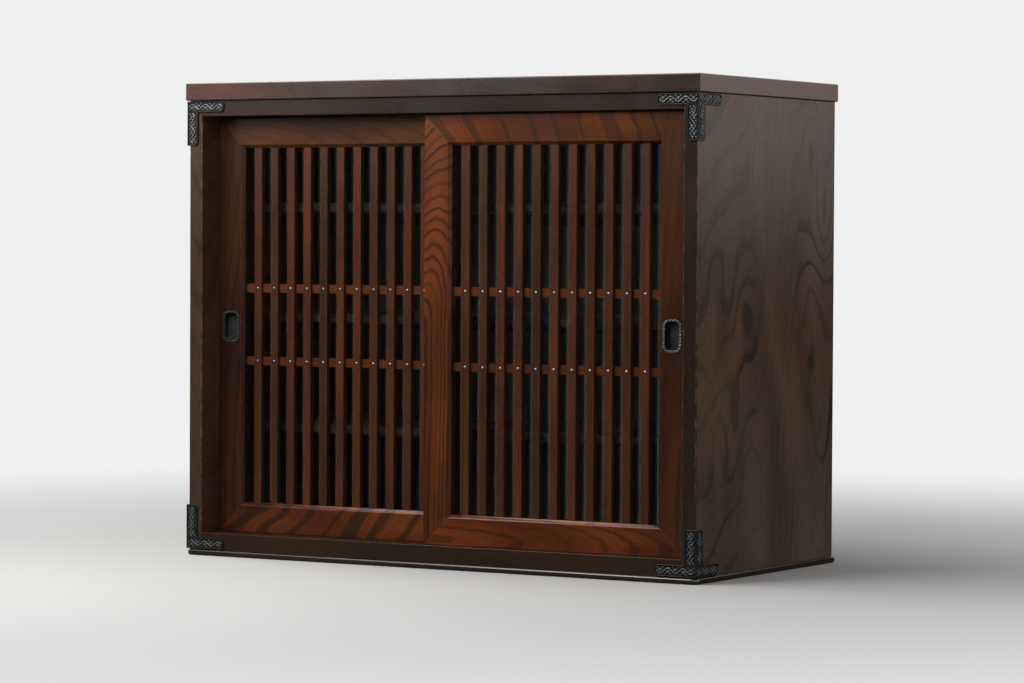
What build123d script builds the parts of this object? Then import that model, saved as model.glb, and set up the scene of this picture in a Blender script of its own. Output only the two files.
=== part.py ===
from build123d import *
import os

# Mizuya kitchen cabinet: a single-tier case of solid zelkova boards with two by-pass lattice doors.
# Millimetres. X runs along the front, the doors face -Y and Z is up.
# The origin is the centre of the overall box on the surface that the base board rests on.

os.makedirs("parts", exist_ok=True)

# ---- Case boards ----
CASE_WIDTH = 900.0  # over the two side boards
CASE_DEPTH = 442.0  # front edge to back edge of a side board
CASE_HEIGHT = 700.0  # side boards, from base board to top board
SIDE_THICKNESS = 24.0
TOP_THICKNESS = 27.0
TOP_OVERHANG = 5.0  # at the front and at both ends
BASE_THICKNESS = 9.0
BASE_PROJECTION = 4.5  # at the front and at both ends
BASE_CORNER_RADIUS = 12.0  # front corners, seen from above
BASE_NOSE_RADIUS = 4.0  # rounded front and end edges of the base board
ARRIS = 1.2  # small chamfer along exposed edges
FLOOR_THICKNESS = 15.0
FLOOR_DADO = 6.0  # depth that the floor board enters each side board
BEARER_HEIGHT = 9.0
BEARER_WIDTH = 45.0
BEARER_COUNT = 3
BACK_THICKNESS = 6.0
BACK_REBATE = 9.0  # width of the side board's rebate for the back panel
BACK_RAIL_HEIGHT = 30.0
BACK_RAIL_THICKNESS = 18.0

# ---- Case joints ----
TOP_TENON_COUNT = 3  # stub tenons on a side board's top edge
TOP_TENON_LENGTH = 12.0
TOP_TENON_WIDTH = 50.0
TOP_TENON_THICKNESS = 10.0
TOP_TENON_SPACING = 145.0  # from centre to centre
TRACK_TENON_LENGTH = 8.0  # stub tenon on each end of a track
TRACK_TENON_HEIGHT = 8.0
TRACK_TENON_MARGIN = 14.0  # from the track's front and back faces
TRACK_TENON_INSET = 2.0  # from the track's outer face
JOINT_CLEARANCE = 0.2  # between a tenon and its mortise, each way

# ---- Shelves ----
SHELF_COUNT = 3
SHELF_THICKNESS = 15.0
SHELF_SETBACK = 110.0  # front edge of a shelf behind the case front
SHELF_CLEARANCE = 0.3  # between a shelf and the boards round it
CLEAT_WIDTH = 12.0
CLEAT_HEIGHT = 18.0
CLEAT_SETBACK = 15.0  # cleat end behind the shelf's front edge
CLEAT_CHAMFER = 3.0

# ---- Tracks ----
UPPER_TRACK_HEIGHT = 24.5
LOWER_TRACK_HEIGHT = 26.5
TRACK_BACK_LIP = 10.0  # behind the rear door
UPPER_GROOVE_DEPTH = 12.0
LOWER_GROOVE_DEPTH = 2.0
GROOVE_SIDE_CLEARANCE = 0.7  # each side of a tongue
RUNNING_CLEARANCE = 0.2  # under a door's lower tongue

# ---- Doors ----
DOOR_SETBACK = 12.0  # front door's face behind the case front
DOOR_GAP = 6.0  # between the two doors
DOOR_THICKNESS = 28.0
DOOR_STOP_CLEARANCE = 0.3  # between a closed door's edge and the side board
FRAME_WIDTH = 46.0  # stiles and rails, bevel included
FRAME_BEVEL = 5.0
LOWER_SHOULDER_GAP = 0.4  # door face above the lower track
UPPER_SHOULDER_GAP = 2.6  # door face below the upper track, which lets the door lift out
TONGUE_THICKNESS = 14.0
TONGUE_ENGAGEMENT = 7.0  # upper tongue inside its groove
TENON_SETBACK = 8.0  # front of the frame tenon behind the door's face
TENON_THICKNESS = 7.0
TENON_HAUNCH = 10.0  # rail's outer edge to the near edge of its tenon
TENON_WIDTH = 20.0
TENON_STOP = 9.0  # wood left beyond the tenon's end

# ---- Lattice ----
BAR_COUNT = 11
BAR_WIDTH = 13.6
BAR_DEPTH = 10.0
BAR_SOCKET = 6.0  # depth that a bar or crosspiece enters the frame
BAR_CHAMFER = 0.8
CROSSPIECE_HEIGHT = 13.5
CROSSPIECE_THICKNESS = 5.0
LOWER_CROSSPIECE_LEVEL = 268.0  # centre line above the door's lower shoulder
UPPER_CROSSPIECE_LEVEL = 381.5
FIT = 0.1  # clearance round a bar or crosspiece
STUD_DIAMETER = 4.8
STUD_HEIGHT = 1.7
STUD_TAPER = 35.0  # degrees
STUD_SIDES = 8

# ---- Glass and beads ----
GLASS_THICKNESS = 3.0
GLASS_GAP = 1.0  # between the lattice and the glass
GLASS_EDGE_CLEARANCE = 1.0
GLASS_REBATE = 9.0  # width of the rebate that the glass lies in
BEAD_WIDTH = 7.0
BEAD_DEPTH = 8.0
BEAD_CHAMFER = 3.0

# ---- Door pulls ----
PULL_WIDTH = 32.0
PULL_HEIGHT = 50.0
PULL_RADIUS = 11.0
PULL_RIM = 4.2  # width of the rim round the cup
PULL_RIM_HEIGHT = 2.0
PULL_RIM_CHAMFER = 0.9
PULL_CUP_DEPTH = 10.0
PULL_WALL = 1.5
PULL_LEVEL = 321.5  # centre above the door's lower shoulder
PULL_CLEARANCE = 0.3  # round the cup in its pocket

# ---- Corner irons ----
IRON_THICKNESS = 3.0
IRON_WIDTH = 17.0
IRON_ARM = 66.0  # horizontal arms, along the front and along the side
IRON_POST = 70.0  # vertical arm
IRON_INSET = 1.2  # from the top board or base board
IRON_END_RADIUS = 6.0
IRON_INNER_RADIUS = 3.0

# ---- Values that follow ----
FRONT_Y = TOP_OVERHANG - (CASE_DEPTH + TOP_OVERHANG) / 2  # front edges of the side boards
BACK_Y = FRONT_Y + CASE_DEPTH
PANEL_Y = BACK_Y - BACK_THICKNESS  # inner face of the back panel
HALF_WIDTH = CASE_WIDTH / 2
INNER_HALF = HALF_WIDTH - SIDE_THICKNESS
CASE_BOTTOM = BASE_THICKNESS
CASE_TOP = CASE_BOTTOM + CASE_HEIGHT
FLOOR_BOTTOM = CASE_BOTTOM + BEARER_HEIGHT
FLOOR_TOP = FLOOR_BOTTOM + FLOOR_THICKNESS
TRACK_DEPTH = DOOR_SETBACK + 2 * DOOR_THICKNESS + DOOR_GAP + TRACK_BACK_LIP
TRACK_Y = FRONT_Y + TRACK_DEPTH  # back faces of the tracks
LOWER_TRACK_TOP = CASE_BOTTOM + LOWER_TRACK_HEIGHT
UPPER_TRACK_BOTTOM = CASE_TOP - UPPER_TRACK_HEIGHT
COMPARTMENT = (CASE_TOP - FLOOR_TOP - SHELF_COUNT * SHELF_THICKNESS) / (SHELF_COUNT + 1)

FRONT_DOOR_Y = FRONT_Y + DOOR_SETBACK
REAR_DOOR_Y = FRONT_DOOR_Y + DOOR_THICKNESS + DOOR_GAP
DOOR_WIDTH = INNER_HALF - DOOR_STOP_CLEARANCE + FRAME_WIDTH / 2  # stiles overlap when closed
DOOR_BOTTOM = LOWER_TRACK_TOP + LOWER_SHOULDER_GAP
DOOR_TOP = UPPER_TRACK_BOTTOM - UPPER_SHOULDER_GAP
DOOR_HEIGHT = DOOR_TOP - DOOR_BOTTOM
LOWER_TONGUE = LOWER_GROOVE_DEPTH + LOWER_SHOULDER_GAP - RUNNING_CLEARANCE
UPPER_TONGUE = UPPER_SHOULDER_GAP + TONGUE_ENGAGEMENT
TONGUE_FACE = (DOOR_THICKNESS - TONGUE_THICKNESS) / 2  # tongue behind the door's face
OPENING_WIDTH = DOOR_WIDTH - 2 * FRAME_WIDTH
BAR_GAP = (OPENING_WIDTH - BAR_COUNT * BAR_WIDTH) / (BAR_COUNT + 1)
BAR_PITCH = BAR_WIDTH + BAR_GAP
GLASS_FACE = FRAME_BEVEL + BAR_DEPTH + GLASS_GAP  # front of the glass behind the door's face
SOCKET_END = BAR_SOCKET - 2 * FIT  # length of a bar's end inside its socket
CROSSPIECE_LEVELS = (LOWER_CROSSPIECE_LEVEL, UPPER_CROSSPIECE_LEVEL)
CROSSPIECE_BACK = FRAME_BEVEL + BAR_DEPTH  # flush with the backs of the bars
CROSSPIECE_DEPTH = (CROSSPIECE_BACK - CROSSPIECE_THICKNESS, CROSSPIECE_BACK)
TENON_DEPTH = (TENON_SETBACK, TENON_SETBACK + TENON_THICKNESS)
TENON_SPAN = (TENON_HAUNCH, TENON_HAUNCH + TENON_WIDTH)


def block(plane, u, v, w, mode=Mode.ADD):
    """Add or cut a block that spans the pairs u, v and w along a plane's x, y and z axes."""
    with BuildSketch(plane.offset(w[0])) as outline:
        with Locations(((u[0] + u[1]) / 2, (v[0] + v[1]) / 2)):
            Rectangle(u[1] - u[0], v[1] - v[0])
    extrude(outline.sketch, amount=w[1] - w[0], mode=mode)


def grown(span, amount):
    """A pair of limits moved apart by an amount at each end."""
    return span[0] - amount, span[1] + amount


def save(piece, name):
    """Label a finished piece and write it under its own name."""
    piece.part.label = name
    export_step(piece.part, f"parts/{name}.step")


# ---- Top board: one slab with stopped mortises for the side boards' tenons ----
TENON_CENTRE_Y = (FRONT_Y + BACK_Y) / 2
SIDE_CENTRE_X = HALF_WIDTH - SIDE_THICKNESS / 2

with BuildPart() as top_board:
    top_x = grown((-HALF_WIDTH, HALF_WIDTH), TOP_OVERHANG)
    top_z = (CASE_TOP, CASE_TOP + TOP_THICKNESS)
    block(Plane.XY, top_x, (FRONT_Y - TOP_OVERHANG, BACK_Y), top_z)
    chamfer(top_board.faces().sort_by(Axis.Y)[0].edges(), ARRIS)
    chamfer(top_board.edges().filter_by(Axis.Y), ARRIS)
    with BuildSketch(Plane.XY.offset(CASE_TOP)):
        with Locations((0, TENON_CENTRE_Y)):
            with GridLocations(2 * SIDE_CENTRE_X, TOP_TENON_SPACING, 2, TOP_TENON_COUNT):
                mortise_x = TOP_TENON_THICKNESS + 2 * JOINT_CLEARANCE
                Rectangle(mortise_x, TOP_TENON_WIDTH + 2 * JOINT_CLEARANCE)
    extrude(amount=TOP_TENON_LENGTH + JOINT_CLEARANCE, mode=Mode.SUBTRACT)
save(top_board, "top_board")


# ---- Base board: thin board with a rounded nose and rounded front corners ----
with BuildPart() as base_board:
    base_x = grown((-HALF_WIDTH, HALF_WIDTH), BASE_PROJECTION)
    block(Plane.XY, base_x, (FRONT_Y - BASE_PROJECTION, BACK_Y), (0, BASE_THICKNESS))
    fillet(base_board.edges().filter_by(Axis.Z).group_by(Axis.Y)[0], BASE_CORNER_RADIUS)
    nose = base_board.edges() - base_board.edges().filter_by(Axis.Z)
    nose = nose - base_board.faces().sort_by(Axis.Y)[-1].edges()
    fillet(nose, BASE_NOSE_RADIUS)
save(base_board, "base_board")


# ---- Side boards: full-height boards with tenons, housings and the back panel's rebate ----
TRACK_TENON_Y = (FRONT_Y + TRACK_TENON_MARGIN, TRACK_Y - TRACK_TENON_MARGIN)
LOWER_TENON_Z = (
    CASE_BOTTOM + TRACK_TENON_INSET,
    CASE_BOTTOM + TRACK_TENON_INSET + TRACK_TENON_HEIGHT,
)
UPPER_TENON_Z = (
    CASE_TOP - TRACK_TENON_INSET - TRACK_TENON_HEIGHT,
    CASE_TOP - TRACK_TENON_INSET,
)


def span_y(side, low, high):
    """A span along Y, as the side board's plane sees it."""
    return (low, high) if side > 0 else (-high, -low)


def side_board(side):
    """The board at one end of the case; side is -1 for the left and 1 for the right."""
    inner = Plane((side * INNER_HALF, 0, 0), x_dir=(side, 0, 0), z_dir=(0, 0, 1))
    # The plane's x runs from the inner face outwards; on the left its y points to the front.
    with BuildPart() as board:
        board_y = span_y(side, FRONT_Y, BACK_Y)
        block(inner, (0, SIDE_THICKNESS), board_y, (CASE_BOTTOM, CASE_TOP))
        chamfer(board.edges().filter_by(Axis.Z).group_by(Axis.Y)[0], ARRIS)
        with BuildSketch(Plane.XY.offset(CASE_TOP)):
            with Locations((side * SIDE_CENTRE_X, TENON_CENTRE_Y)):
                with GridLocations(0, TOP_TENON_SPACING, 1, TOP_TENON_COUNT):
                    Rectangle(TOP_TENON_THICKNESS, TOP_TENON_WIDTH)
        extrude(amount=TOP_TENON_LENGTH)
        rebate_y = span_y(side, PANEL_Y, BACK_Y)
        block(inner, (0, BACK_REBATE), rebate_y, (CASE_BOTTOM, CASE_TOP), Mode.SUBTRACT)
        dado_y = span_y(side, TRACK_Y, PANEL_Y)
        block(inner, (0, FLOOR_DADO), dado_y, (FLOOR_BOTTOM, FLOOR_TOP), Mode.SUBTRACT)
        for tenon_z in (LOWER_TENON_Z, UPPER_TENON_Z):
            socket = (0, TRACK_TENON_LENGTH + JOINT_CLEARANCE)
            socket_y = grown(span_y(side, *TRACK_TENON_Y), JOINT_CLEARANCE)
            block(inner, socket, socket_y, grown(tenon_z, JOINT_CLEARANCE), Mode.SUBTRACT)
    return board


save(side_board(-1), "left_side_board")
save(side_board(1), "right_side_board")


# ---- Tracks: one section with two grooves, tenoned into the side boards ----
def groove_spans():
    """Front and back of the front door's groove and of the rear door's groove."""
    spans = []
    for door_y in (FRONT_DOOR_Y, REAR_DOOR_Y):
        tongue = (door_y + TONGUE_FACE, door_y + TONGUE_FACE + TONGUE_THICKNESS)
        spans.append(grown(tongue, GROOVE_SIDE_CLEARANCE))
    return spans


def track(open_face, closed_face, groove_depth, tenon_z):
    """A grooved track between the side boards; its grooves are in the face at open_face."""
    towards = 1 if closed_face > open_face else -1
    along = (-INNER_HALF, INNER_HALF)
    with BuildPart() as rail:
        with BuildSketch(Plane.YZ.offset(-INNER_HALF)):
            with Locations(((FRONT_Y + TRACK_Y) / 2, (open_face + closed_face) / 2)):
                Rectangle(TRACK_DEPTH, abs(closed_face - open_face))
            for front, back in groove_spans():
                with Locations(((front + back) / 2, open_face + towards * groove_depth / 2)):
                    Rectangle(back - front, groove_depth, mode=Mode.SUBTRACT)
        extrude(amount=2 * INNER_HALF)
        chamfer(rail.edges().filter_by(Axis.X).group_by(Axis.Y)[0], ARRIS / 2)
        block(Plane.XY, grown(along, TRACK_TENON_LENGTH), TRACK_TENON_Y, tenon_z)
    return rail


lower_track = track(LOWER_TRACK_TOP, CASE_BOTTOM, LOWER_GROOVE_DEPTH, LOWER_TENON_Z)
upper_track = track(UPPER_TRACK_BOTTOM, CASE_TOP, UPPER_GROOVE_DEPTH, UPPER_TENON_Z)
save(lower_track, "lower_track")
save(upper_track, "upper_track")


# ---- Floor, back and the strips that carry them ----
with BuildPart() as floor_board:
    floor_x = grown((-INNER_HALF, INNER_HALF), FLOOR_DADO)
    block(Plane.XY, floor_x, (TRACK_Y, PANEL_Y), (FLOOR_BOTTOM, FLOOR_TOP))
save(floor_board, "floor_board")

with BuildPart() as floor_bearers:
    with BuildSketch(Plane.XY.offset(CASE_BOTTOM)):
        with Locations((0, (TRACK_Y + PANEL_Y) / 2)):
            with GridLocations((2 * INNER_HALF - BEARER_WIDTH) / (BEARER_COUNT - 1), 0, BEARER_COUNT, 1):
                Rectangle(BEARER_WIDTH, PANEL_Y - TRACK_Y)
    extrude(amount=BEARER_HEIGHT)
save(floor_bearers, "floor_bearers")

with BuildPart() as back_panel:
    back_x = grown((-INNER_HALF, INNER_HALF), BACK_REBATE)
    block(Plane.XY, back_x, (PANEL_Y, BACK_Y), (CASE_BOTTOM, CASE_TOP))
save(back_panel, "back_panel")

with BuildPart() as back_rail:
    back_rail_y = (PANEL_Y - BACK_RAIL_THICKNESS, PANEL_Y)
    back_rail_z = (CASE_TOP - BACK_RAIL_HEIGHT, CASE_TOP)
    block(Plane.XY, (-INNER_HALF, INNER_HALF), back_rail_y, back_rail_z)
    lower_edges = back_rail.edges().filter_by(Axis.X).group_by(Axis.Z)[0]
    chamfer(lower_edges.sort_by(Axis.Y)[0], CLEAT_CHAMFER)
save(back_rail, "back_rail")


# ---- Shelves: loose boards that lie on cleats along the sides and the back ----
SHELF_NAMES = ("lower_shelf", "middle_shelf", "upper_shelf")
SHELF_Y = (FRONT_Y + SHELF_SETBACK, PANEL_Y - SHELF_CLEARANCE)


def shelf_underside(number):
    """Height of a shelf's underside, counted from the floor board up."""
    return FLOOR_TOP + (number + 1) * COMPARTMENT + number * SHELF_THICKNESS


for number in range(SHELF_COUNT):
    with BuildPart() as shelf:
        shelf_z = (shelf_underside(number), shelf_underside(number) + SHELF_THICKNESS)
        block(Plane.XY, grown((-INNER_HALF, INNER_HALF), -SHELF_CLEARANCE), SHELF_Y, shelf_z)
        chamfer(shelf.faces().sort_by(Axis.Y)[0].edges().filter_by(Axis.X), ARRIS)
    save(shelf, SHELF_NAMES[number])

with BuildPart() as shelf_cleats:
    for number in range(SHELF_COUNT):
        top = shelf_underside(number)
        cleat_y = (SHELF_Y[0] + CLEAT_SETBACK, PANEL_Y)
        for cleat_x in ((-INNER_HALF, CLEAT_WIDTH - INNER_HALF), (INNER_HALF - CLEAT_WIDTH, INNER_HALF)):
            block(Plane.XY, cleat_x, cleat_y, (top - CLEAT_HEIGHT, top))
        back_cleat_x = grown((-INNER_HALF, INNER_HALF), -CLEAT_WIDTH - SHELF_CLEARANCE)
        block(Plane.XY, back_cleat_x, (PANEL_Y - CLEAT_WIDTH, PANEL_Y), (top - CLEAT_HEIGHT, top))
    cleat_ends = shelf_cleats.faces().filter_by(Plane.XZ).group_by(Axis.Y)[0]
    chamfer([face.edges().sort_by(Axis.Z)[0] for face in cleat_ends], CLEAT_CHAMFER)
save(shelf_cleats, "shelf_cleats")


# ---- Corner irons: three-way cast plates that wrap each front corner of the case ----
def iron_plate(plane, start, arm, amount):
    """Half of a corner iron: an L with rounded ends, on a plane whose origin is the case corner."""
    with BuildSketch(plane) as plate:
        with BuildLine():
            Polyline(
                (start, IRON_INSET),
                (arm, IRON_INSET),
                (arm, IRON_INSET + IRON_WIDTH),
                (IRON_WIDTH, IRON_INSET + IRON_WIDTH),
                (IRON_WIDTH, IRON_POST),
                (start, IRON_POST),
                close=True,
            )
        make_face()
        ends = plate.vertices().group_by(Axis.X)[-1] + plate.vertices().group_by(Axis.Y)[-1]
        fillet([corner for corner in ends if corner.X > start], IRON_END_RADIUS)
        inner = plate.vertices().sort_by_distance((IRON_WIDTH, IRON_INSET + IRON_WIDTH))[0]
        fillet(inner, IRON_INNER_RADIUS)
    extrude(plate.sketch, amount=amount)


def corner_iron(side, level):
    """side is -1 for the left and 1 for the right, level is -1 for the bottom and 1 for the top."""
    corner = (side * HALF_WIDTH, FRONT_Y, CASE_TOP if level > 0 else CASE_BOTTOM)
    turn = side * level
    front = Plane(corner, x_dir=(-side, 0, 0), z_dir=(0, -turn, 0))
    flank = Plane(corner, x_dir=(0, 1, 0), z_dir=(-level, 0, 0))
    with BuildPart() as iron:
        iron_plate(front, -IRON_THICKNESS, IRON_ARM, turn * IRON_THICKNESS)
        iron_plate(flank, 0, IRON_ARM, -turn * IRON_THICKNESS)
    return iron


for side_name, side in (("left", -1), ("right", 1)):
    for level_name, level in (("top", 1), ("bottom", -1)):
        save(corner_iron(side, level), f"{level_name}_{side_name}_corner_iron")


# ---- Door frames: one moulded section, mitred at the corners, with hidden tenons ----
def frame_member(corner, length, tongue=0.0):
    """A stile or rail with mitred ends.

    The plane `corner` lies at an outer corner of the door's face. Its x points into the door
    across the member, its y to the back and its z along the member.
    """
    with BuildPart() as member:
        with BuildSketch(corner):
            with BuildLine():
                Polyline(
                    (0, 0),
                    (FRAME_WIDTH - FRAME_BEVEL, 0),
                    (FRAME_WIDTH, FRAME_BEVEL),
                    (FRAME_WIDTH, GLASS_FACE),
                    (FRAME_WIDTH - GLASS_REBATE, GLASS_FACE),
                    (FRAME_WIDTH - GLASS_REBATE, DOOR_THICKNESS),
                    (0, DOOR_THICKNESS),
                    close=True,
                )
            make_face()
        extrude(amount=length)
        for mitre in mitre_planes(corner, length):
            split(bisect_by=mitre, keep=Keep.TOP)
        if tongue:
            tongue_depth = (TONGUE_FACE, TONGUE_FACE + TONGUE_THICKNESS)
            block(corner, (-tongue, 0), tongue_depth, (0, length))
    return member


def mitre_planes(corner, length):
    """The 45 degree cuts at a member's two ends, each looking into the member."""
    far = corner.origin + corner.z_dir * length
    return (
        Plane(corner.origin, z_dir=corner.z_dir - corner.x_dir),
        Plane(far, z_dir=-corner.z_dir - corner.x_dir),
    )


def end_spans(low, high, length):
    """The same span counted from each end of a member."""
    return (low, high), (length - high, length - low)


def door_rail(corner, tongue):
    """A rail with its tongue, end tenons and a socket for each bar."""
    with BuildPart() as rail:
        add(frame_member(corner, DOOR_WIDTH, tongue).part)
        for tenon in end_spans(TENON_STOP, FRAME_WIDTH, DOOR_WIDTH):
            block(corner, TENON_SPAN, TENON_DEPTH, tenon)
        socket = (FRAME_WIDTH - BAR_SOCKET, FRAME_WIDTH)
        socket_depth = grown((FRAME_BEVEL, FRAME_BEVEL + BAR_DEPTH), FIT)
        for number in range(BAR_COUNT):
            first = FRAME_WIDTH + BAR_GAP + number * BAR_PITCH
            across = grown((first, first + BAR_WIDTH), FIT)
            block(corner, socket, socket_depth, across, Mode.SUBTRACT)
    return rail


def door_stile(corner):
    """A stile with its mortises and a socket for each crosspiece; `corner` is at either end."""
    upwards = corner.z_dir.Z > 0
    with BuildPart() as stile:
        add(frame_member(corner, DOOR_HEIGHT).part)
        mortise = (TENON_STOP - JOINT_CLEARANCE, FRAME_WIDTH)
        for span in end_spans(*grown(TENON_SPAN, JOINT_CLEARANCE), DOOR_HEIGHT):
            block(corner, mortise, grown(TENON_DEPTH, JOINT_CLEARANCE), span, Mode.SUBTRACT)
        socket = (FRAME_WIDTH - BAR_SOCKET, FRAME_WIDTH)
        for level in CROSSPIECE_LEVELS:
            centre = level if upwards else DOOR_HEIGHT - level
            span = grown((centre, centre), CROSSPIECE_HEIGHT / 2 + FIT)
            block(corner, socket, grown(CROSSPIECE_DEPTH, FIT), span, Mode.SUBTRACT)
    return stile


# ---- Lattice ----
def lattice_bar(door, number):
    """A vertical bar, notched over both crosspieces."""
    left = FRAME_WIDTH + BAR_GAP + number * BAR_PITCH
    ends = grown((FRAME_WIDTH, DOOR_HEIGHT - FRAME_WIDTH), SOCKET_END)
    with BuildPart() as bar:
        block(door, (left, left + BAR_WIDTH), (FRAME_BEVEL, FRAME_BEVEL + BAR_DEPTH), ends)
        chamfer(bar.edges().filter_by(Axis.Z).group_by(Axis.Y)[0], BAR_CHAMFER)
        notch_depth = (CROSSPIECE_DEPTH[0] - FIT, CROSSPIECE_DEPTH[1])
        for level in CROSSPIECE_LEVELS:
            notch = grown((level, level), CROSSPIECE_HEIGHT / 2 + FIT)
            block(door, (left, left + BAR_WIDTH), notch_depth, notch, Mode.SUBTRACT)
    return bar


def crosspiece(door, level):
    """A thin horizontal strip that the bars are notched over."""
    ends = grown((FRAME_WIDTH, DOOR_WIDTH - FRAME_WIDTH), SOCKET_END)
    with BuildPart() as strip:
        height = grown((level, level), CROSSPIECE_HEIGHT / 2)
        block(door, ends, CROSSPIECE_DEPTH, height)
    return strip


def lattice_studs(door):
    """Raised studs that pin each bar to the crosspieces, one at every crossing."""
    first = FRAME_WIDTH + BAR_GAP + BAR_WIDTH / 2
    with BuildPart() as stud:
        with BuildSketch():
            RegularPolygon(STUD_DIAMETER / 2, STUD_SIDES)
        extrude(amount=STUD_HEIGHT, taper=STUD_TAPER)
    with BuildPart() as studs:
        for level in CROSSPIECE_LEVELS:
            for number in range(BAR_COUNT):
                seat = door.from_local_coords(Vector(first + number * BAR_PITCH, FRAME_BEVEL, level))
                with Locations(Location(Plane(seat, x_dir=(1, 0, 0), z_dir=(0, -1, 0)))):
                    add(stud.part)
    return studs


# ---- Glass and beads ----
def glass_pane(door):
    """A clear pane that lies in the frame's rebate from behind."""
    inset = FRAME_WIDTH - GLASS_REBATE + GLASS_EDGE_CLEARANCE
    across = grown((0, DOOR_WIDTH), -inset)
    upwards = grown((0, DOOR_HEIGHT), -inset)
    with BuildPart() as pane:
        block(door, across, (GLASS_FACE, GLASS_FACE + GLASS_THICKNESS), upwards)
    return pane


def glass_beads(door):
    """Four mitred beads that hold the pane in its rebate."""
    inset = FRAME_WIDTH - GLASS_REBATE
    seat = GLASS_FACE + GLASS_THICKNESS
    with BuildPart() as beads:
        for corner, length in member_planes(door, inset, seat):
            add(glass_bead(corner, length).part)
    return beads


def glass_bead(corner, length):
    """One bead with mitred ends, on a plane like a frame member's."""
    with BuildPart() as bead:
        with BuildSketch(corner):
            with BuildLine():
                Polyline(
                    (0, 0),
                    (BEAD_WIDTH, 0),
                    (BEAD_WIDTH, BEAD_DEPTH - BEAD_CHAMFER),
                    (BEAD_WIDTH - BEAD_CHAMFER, BEAD_DEPTH),
                    (0, BEAD_DEPTH),
                    close=True,
                )
            make_face()
        extrude(amount=length)
        for mitre in mitre_planes(corner, length):
            split(bisect_by=mitre.offset(FIT / 2), keep=Keep.TOP)
    return bead


def member_planes(door, inset=0.0, depth=0.0):
    """Corner plane and length of the left, right, bottom and top members of a mitred frame."""
    low = Vector(inset, depth, inset)
    high = Vector(DOOR_WIDTH - inset, depth, DOOR_HEIGHT - inset)
    width = DOOR_WIDTH - 2 * inset
    height = DOOR_HEIGHT - 2 * inset
    near = door.from_local_coords(low)
    far = door.from_local_coords(high)
    return (
        (Plane(near, x_dir=(1, 0, 0), z_dir=(0, 0, 1)), height),
        (Plane(far, x_dir=(-1, 0, 0), z_dir=(0, 0, -1)), height),
        (Plane((far.X, near.Y, near.Z), x_dir=(0, 0, 1), z_dir=(-1, 0, 0)), width),
        (Plane((near.X, near.Y, far.Z), x_dir=(0, 0, -1), z_dir=(1, 0, 0)), width),
    )


# ---- Door pulls: cast cups let into the outer stiles ----
CUP_WIDTH = PULL_WIDTH - 2 * PULL_RIM + 2 * PULL_WALL
CUP_HEIGHT = PULL_HEIGHT - 2 * PULL_RIM + 2 * PULL_WALL
CUP_RADIUS = PULL_RADIUS - PULL_RIM + PULL_WALL


def pull_face(door, from_left):
    """Plane on the door's face at the pull's centre, looking forwards."""
    centre = door.from_local_coords(Vector(from_left, 0, PULL_LEVEL))
    return Plane(centre, x_dir=(1, 0, 0), z_dir=(0, -1, 0))


def door_pull(face):
    """An oblong cup with a raised rim."""
    with BuildPart() as pull:
        with BuildSketch(face):
            RectangleRounded(PULL_WIDTH, PULL_HEIGHT, PULL_RADIUS)
        extrude(amount=PULL_RIM_HEIGHT)
        with BuildSketch(face):
            RectangleRounded(CUP_WIDTH, CUP_HEIGHT, CUP_RADIUS)
        extrude(amount=-PULL_CUP_DEPTH)
        with BuildSketch(face.offset(PULL_RIM_HEIGHT)):
            RectangleRounded(
                CUP_WIDTH - 2 * PULL_WALL, CUP_HEIGHT - 2 * PULL_WALL, CUP_RADIUS - PULL_WALL
            )
        extrude(amount=PULL_WALL - PULL_RIM_HEIGHT - PULL_CUP_DEPTH, mode=Mode.SUBTRACT)
        chamfer(pull.faces().sort_by(Axis.Y)[0].edges(), PULL_RIM_CHAMFER)
    return pull


def stile_with_pocket(corner, face):
    """An outer stile with the blind pocket that takes the pull's cup."""
    with BuildPart() as stile:
        add(door_stile(corner).part)
        with BuildSketch(face):
            RectangleRounded(
                CUP_WIDTH + 2 * PULL_CLEARANCE,
                CUP_HEIGHT + 2 * PULL_CLEARANCE,
                CUP_RADIUS + PULL_CLEARANCE,
            )
        extrude(amount=-PULL_CUP_DEPTH - PULL_CLEARANCE, mode=Mode.SUBTRACT)
    return stile


# ---- The two doors: the left one runs in the rear grooves, the right one in the front grooves ----
def make_door(name, left_x, face_y, pull_on_left):
    """Write every piece of one door. Its plane's origin is the face's lower left corner."""
    door = Plane((left_x, face_y, DOOR_BOTTOM), x_dir=(1, 0, 0), z_dir=(0, 0, 1))
    left, right, bottom, top = (corner for corner, _ in member_planes(door))
    outer, meeting = (left, right) if pull_on_left else (right, left)
    from_left = FRAME_WIDTH / 2 if pull_on_left else DOOR_WIDTH - FRAME_WIDTH / 2
    face = pull_face(door, from_left)

    save(stile_with_pocket(outer, face), f"{name}_outer_stile")
    save(door_stile(meeting), f"{name}_meeting_stile")
    save(door_rail(bottom, LOWER_TONGUE), f"{name}_bottom_rail")
    save(door_rail(top, UPPER_TONGUE), f"{name}_top_rail")
    for number in range(BAR_COUNT):
        save(lattice_bar(door, number), f"{name}_bar_{number + 1:02d}")
    save(crosspiece(door, CROSSPIECE_LEVELS[0]), f"{name}_lower_crosspiece")
    save(crosspiece(door, CROSSPIECE_LEVELS[1]), f"{name}_upper_crosspiece")
    save(lattice_studs(door), f"{name}_studs")
    save(glass_pane(door), f"{name}_glass")
    save(glass_beads(door), f"{name}_glass_beads")
    save(door_pull(face), f"{name}_pull")


make_door("left_door", DOOR_STOP_CLEARANCE - INNER_HALF, REAR_DOOR_Y, True)
make_door("right_door", INNER_HALF - DOOR_STOP_CLEARANCE - DOOR_WIDTH, FRONT_DOOR_Y, False)
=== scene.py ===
import math

import bmesh
import bpy
from mathutils import Matrix, Vector


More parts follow.
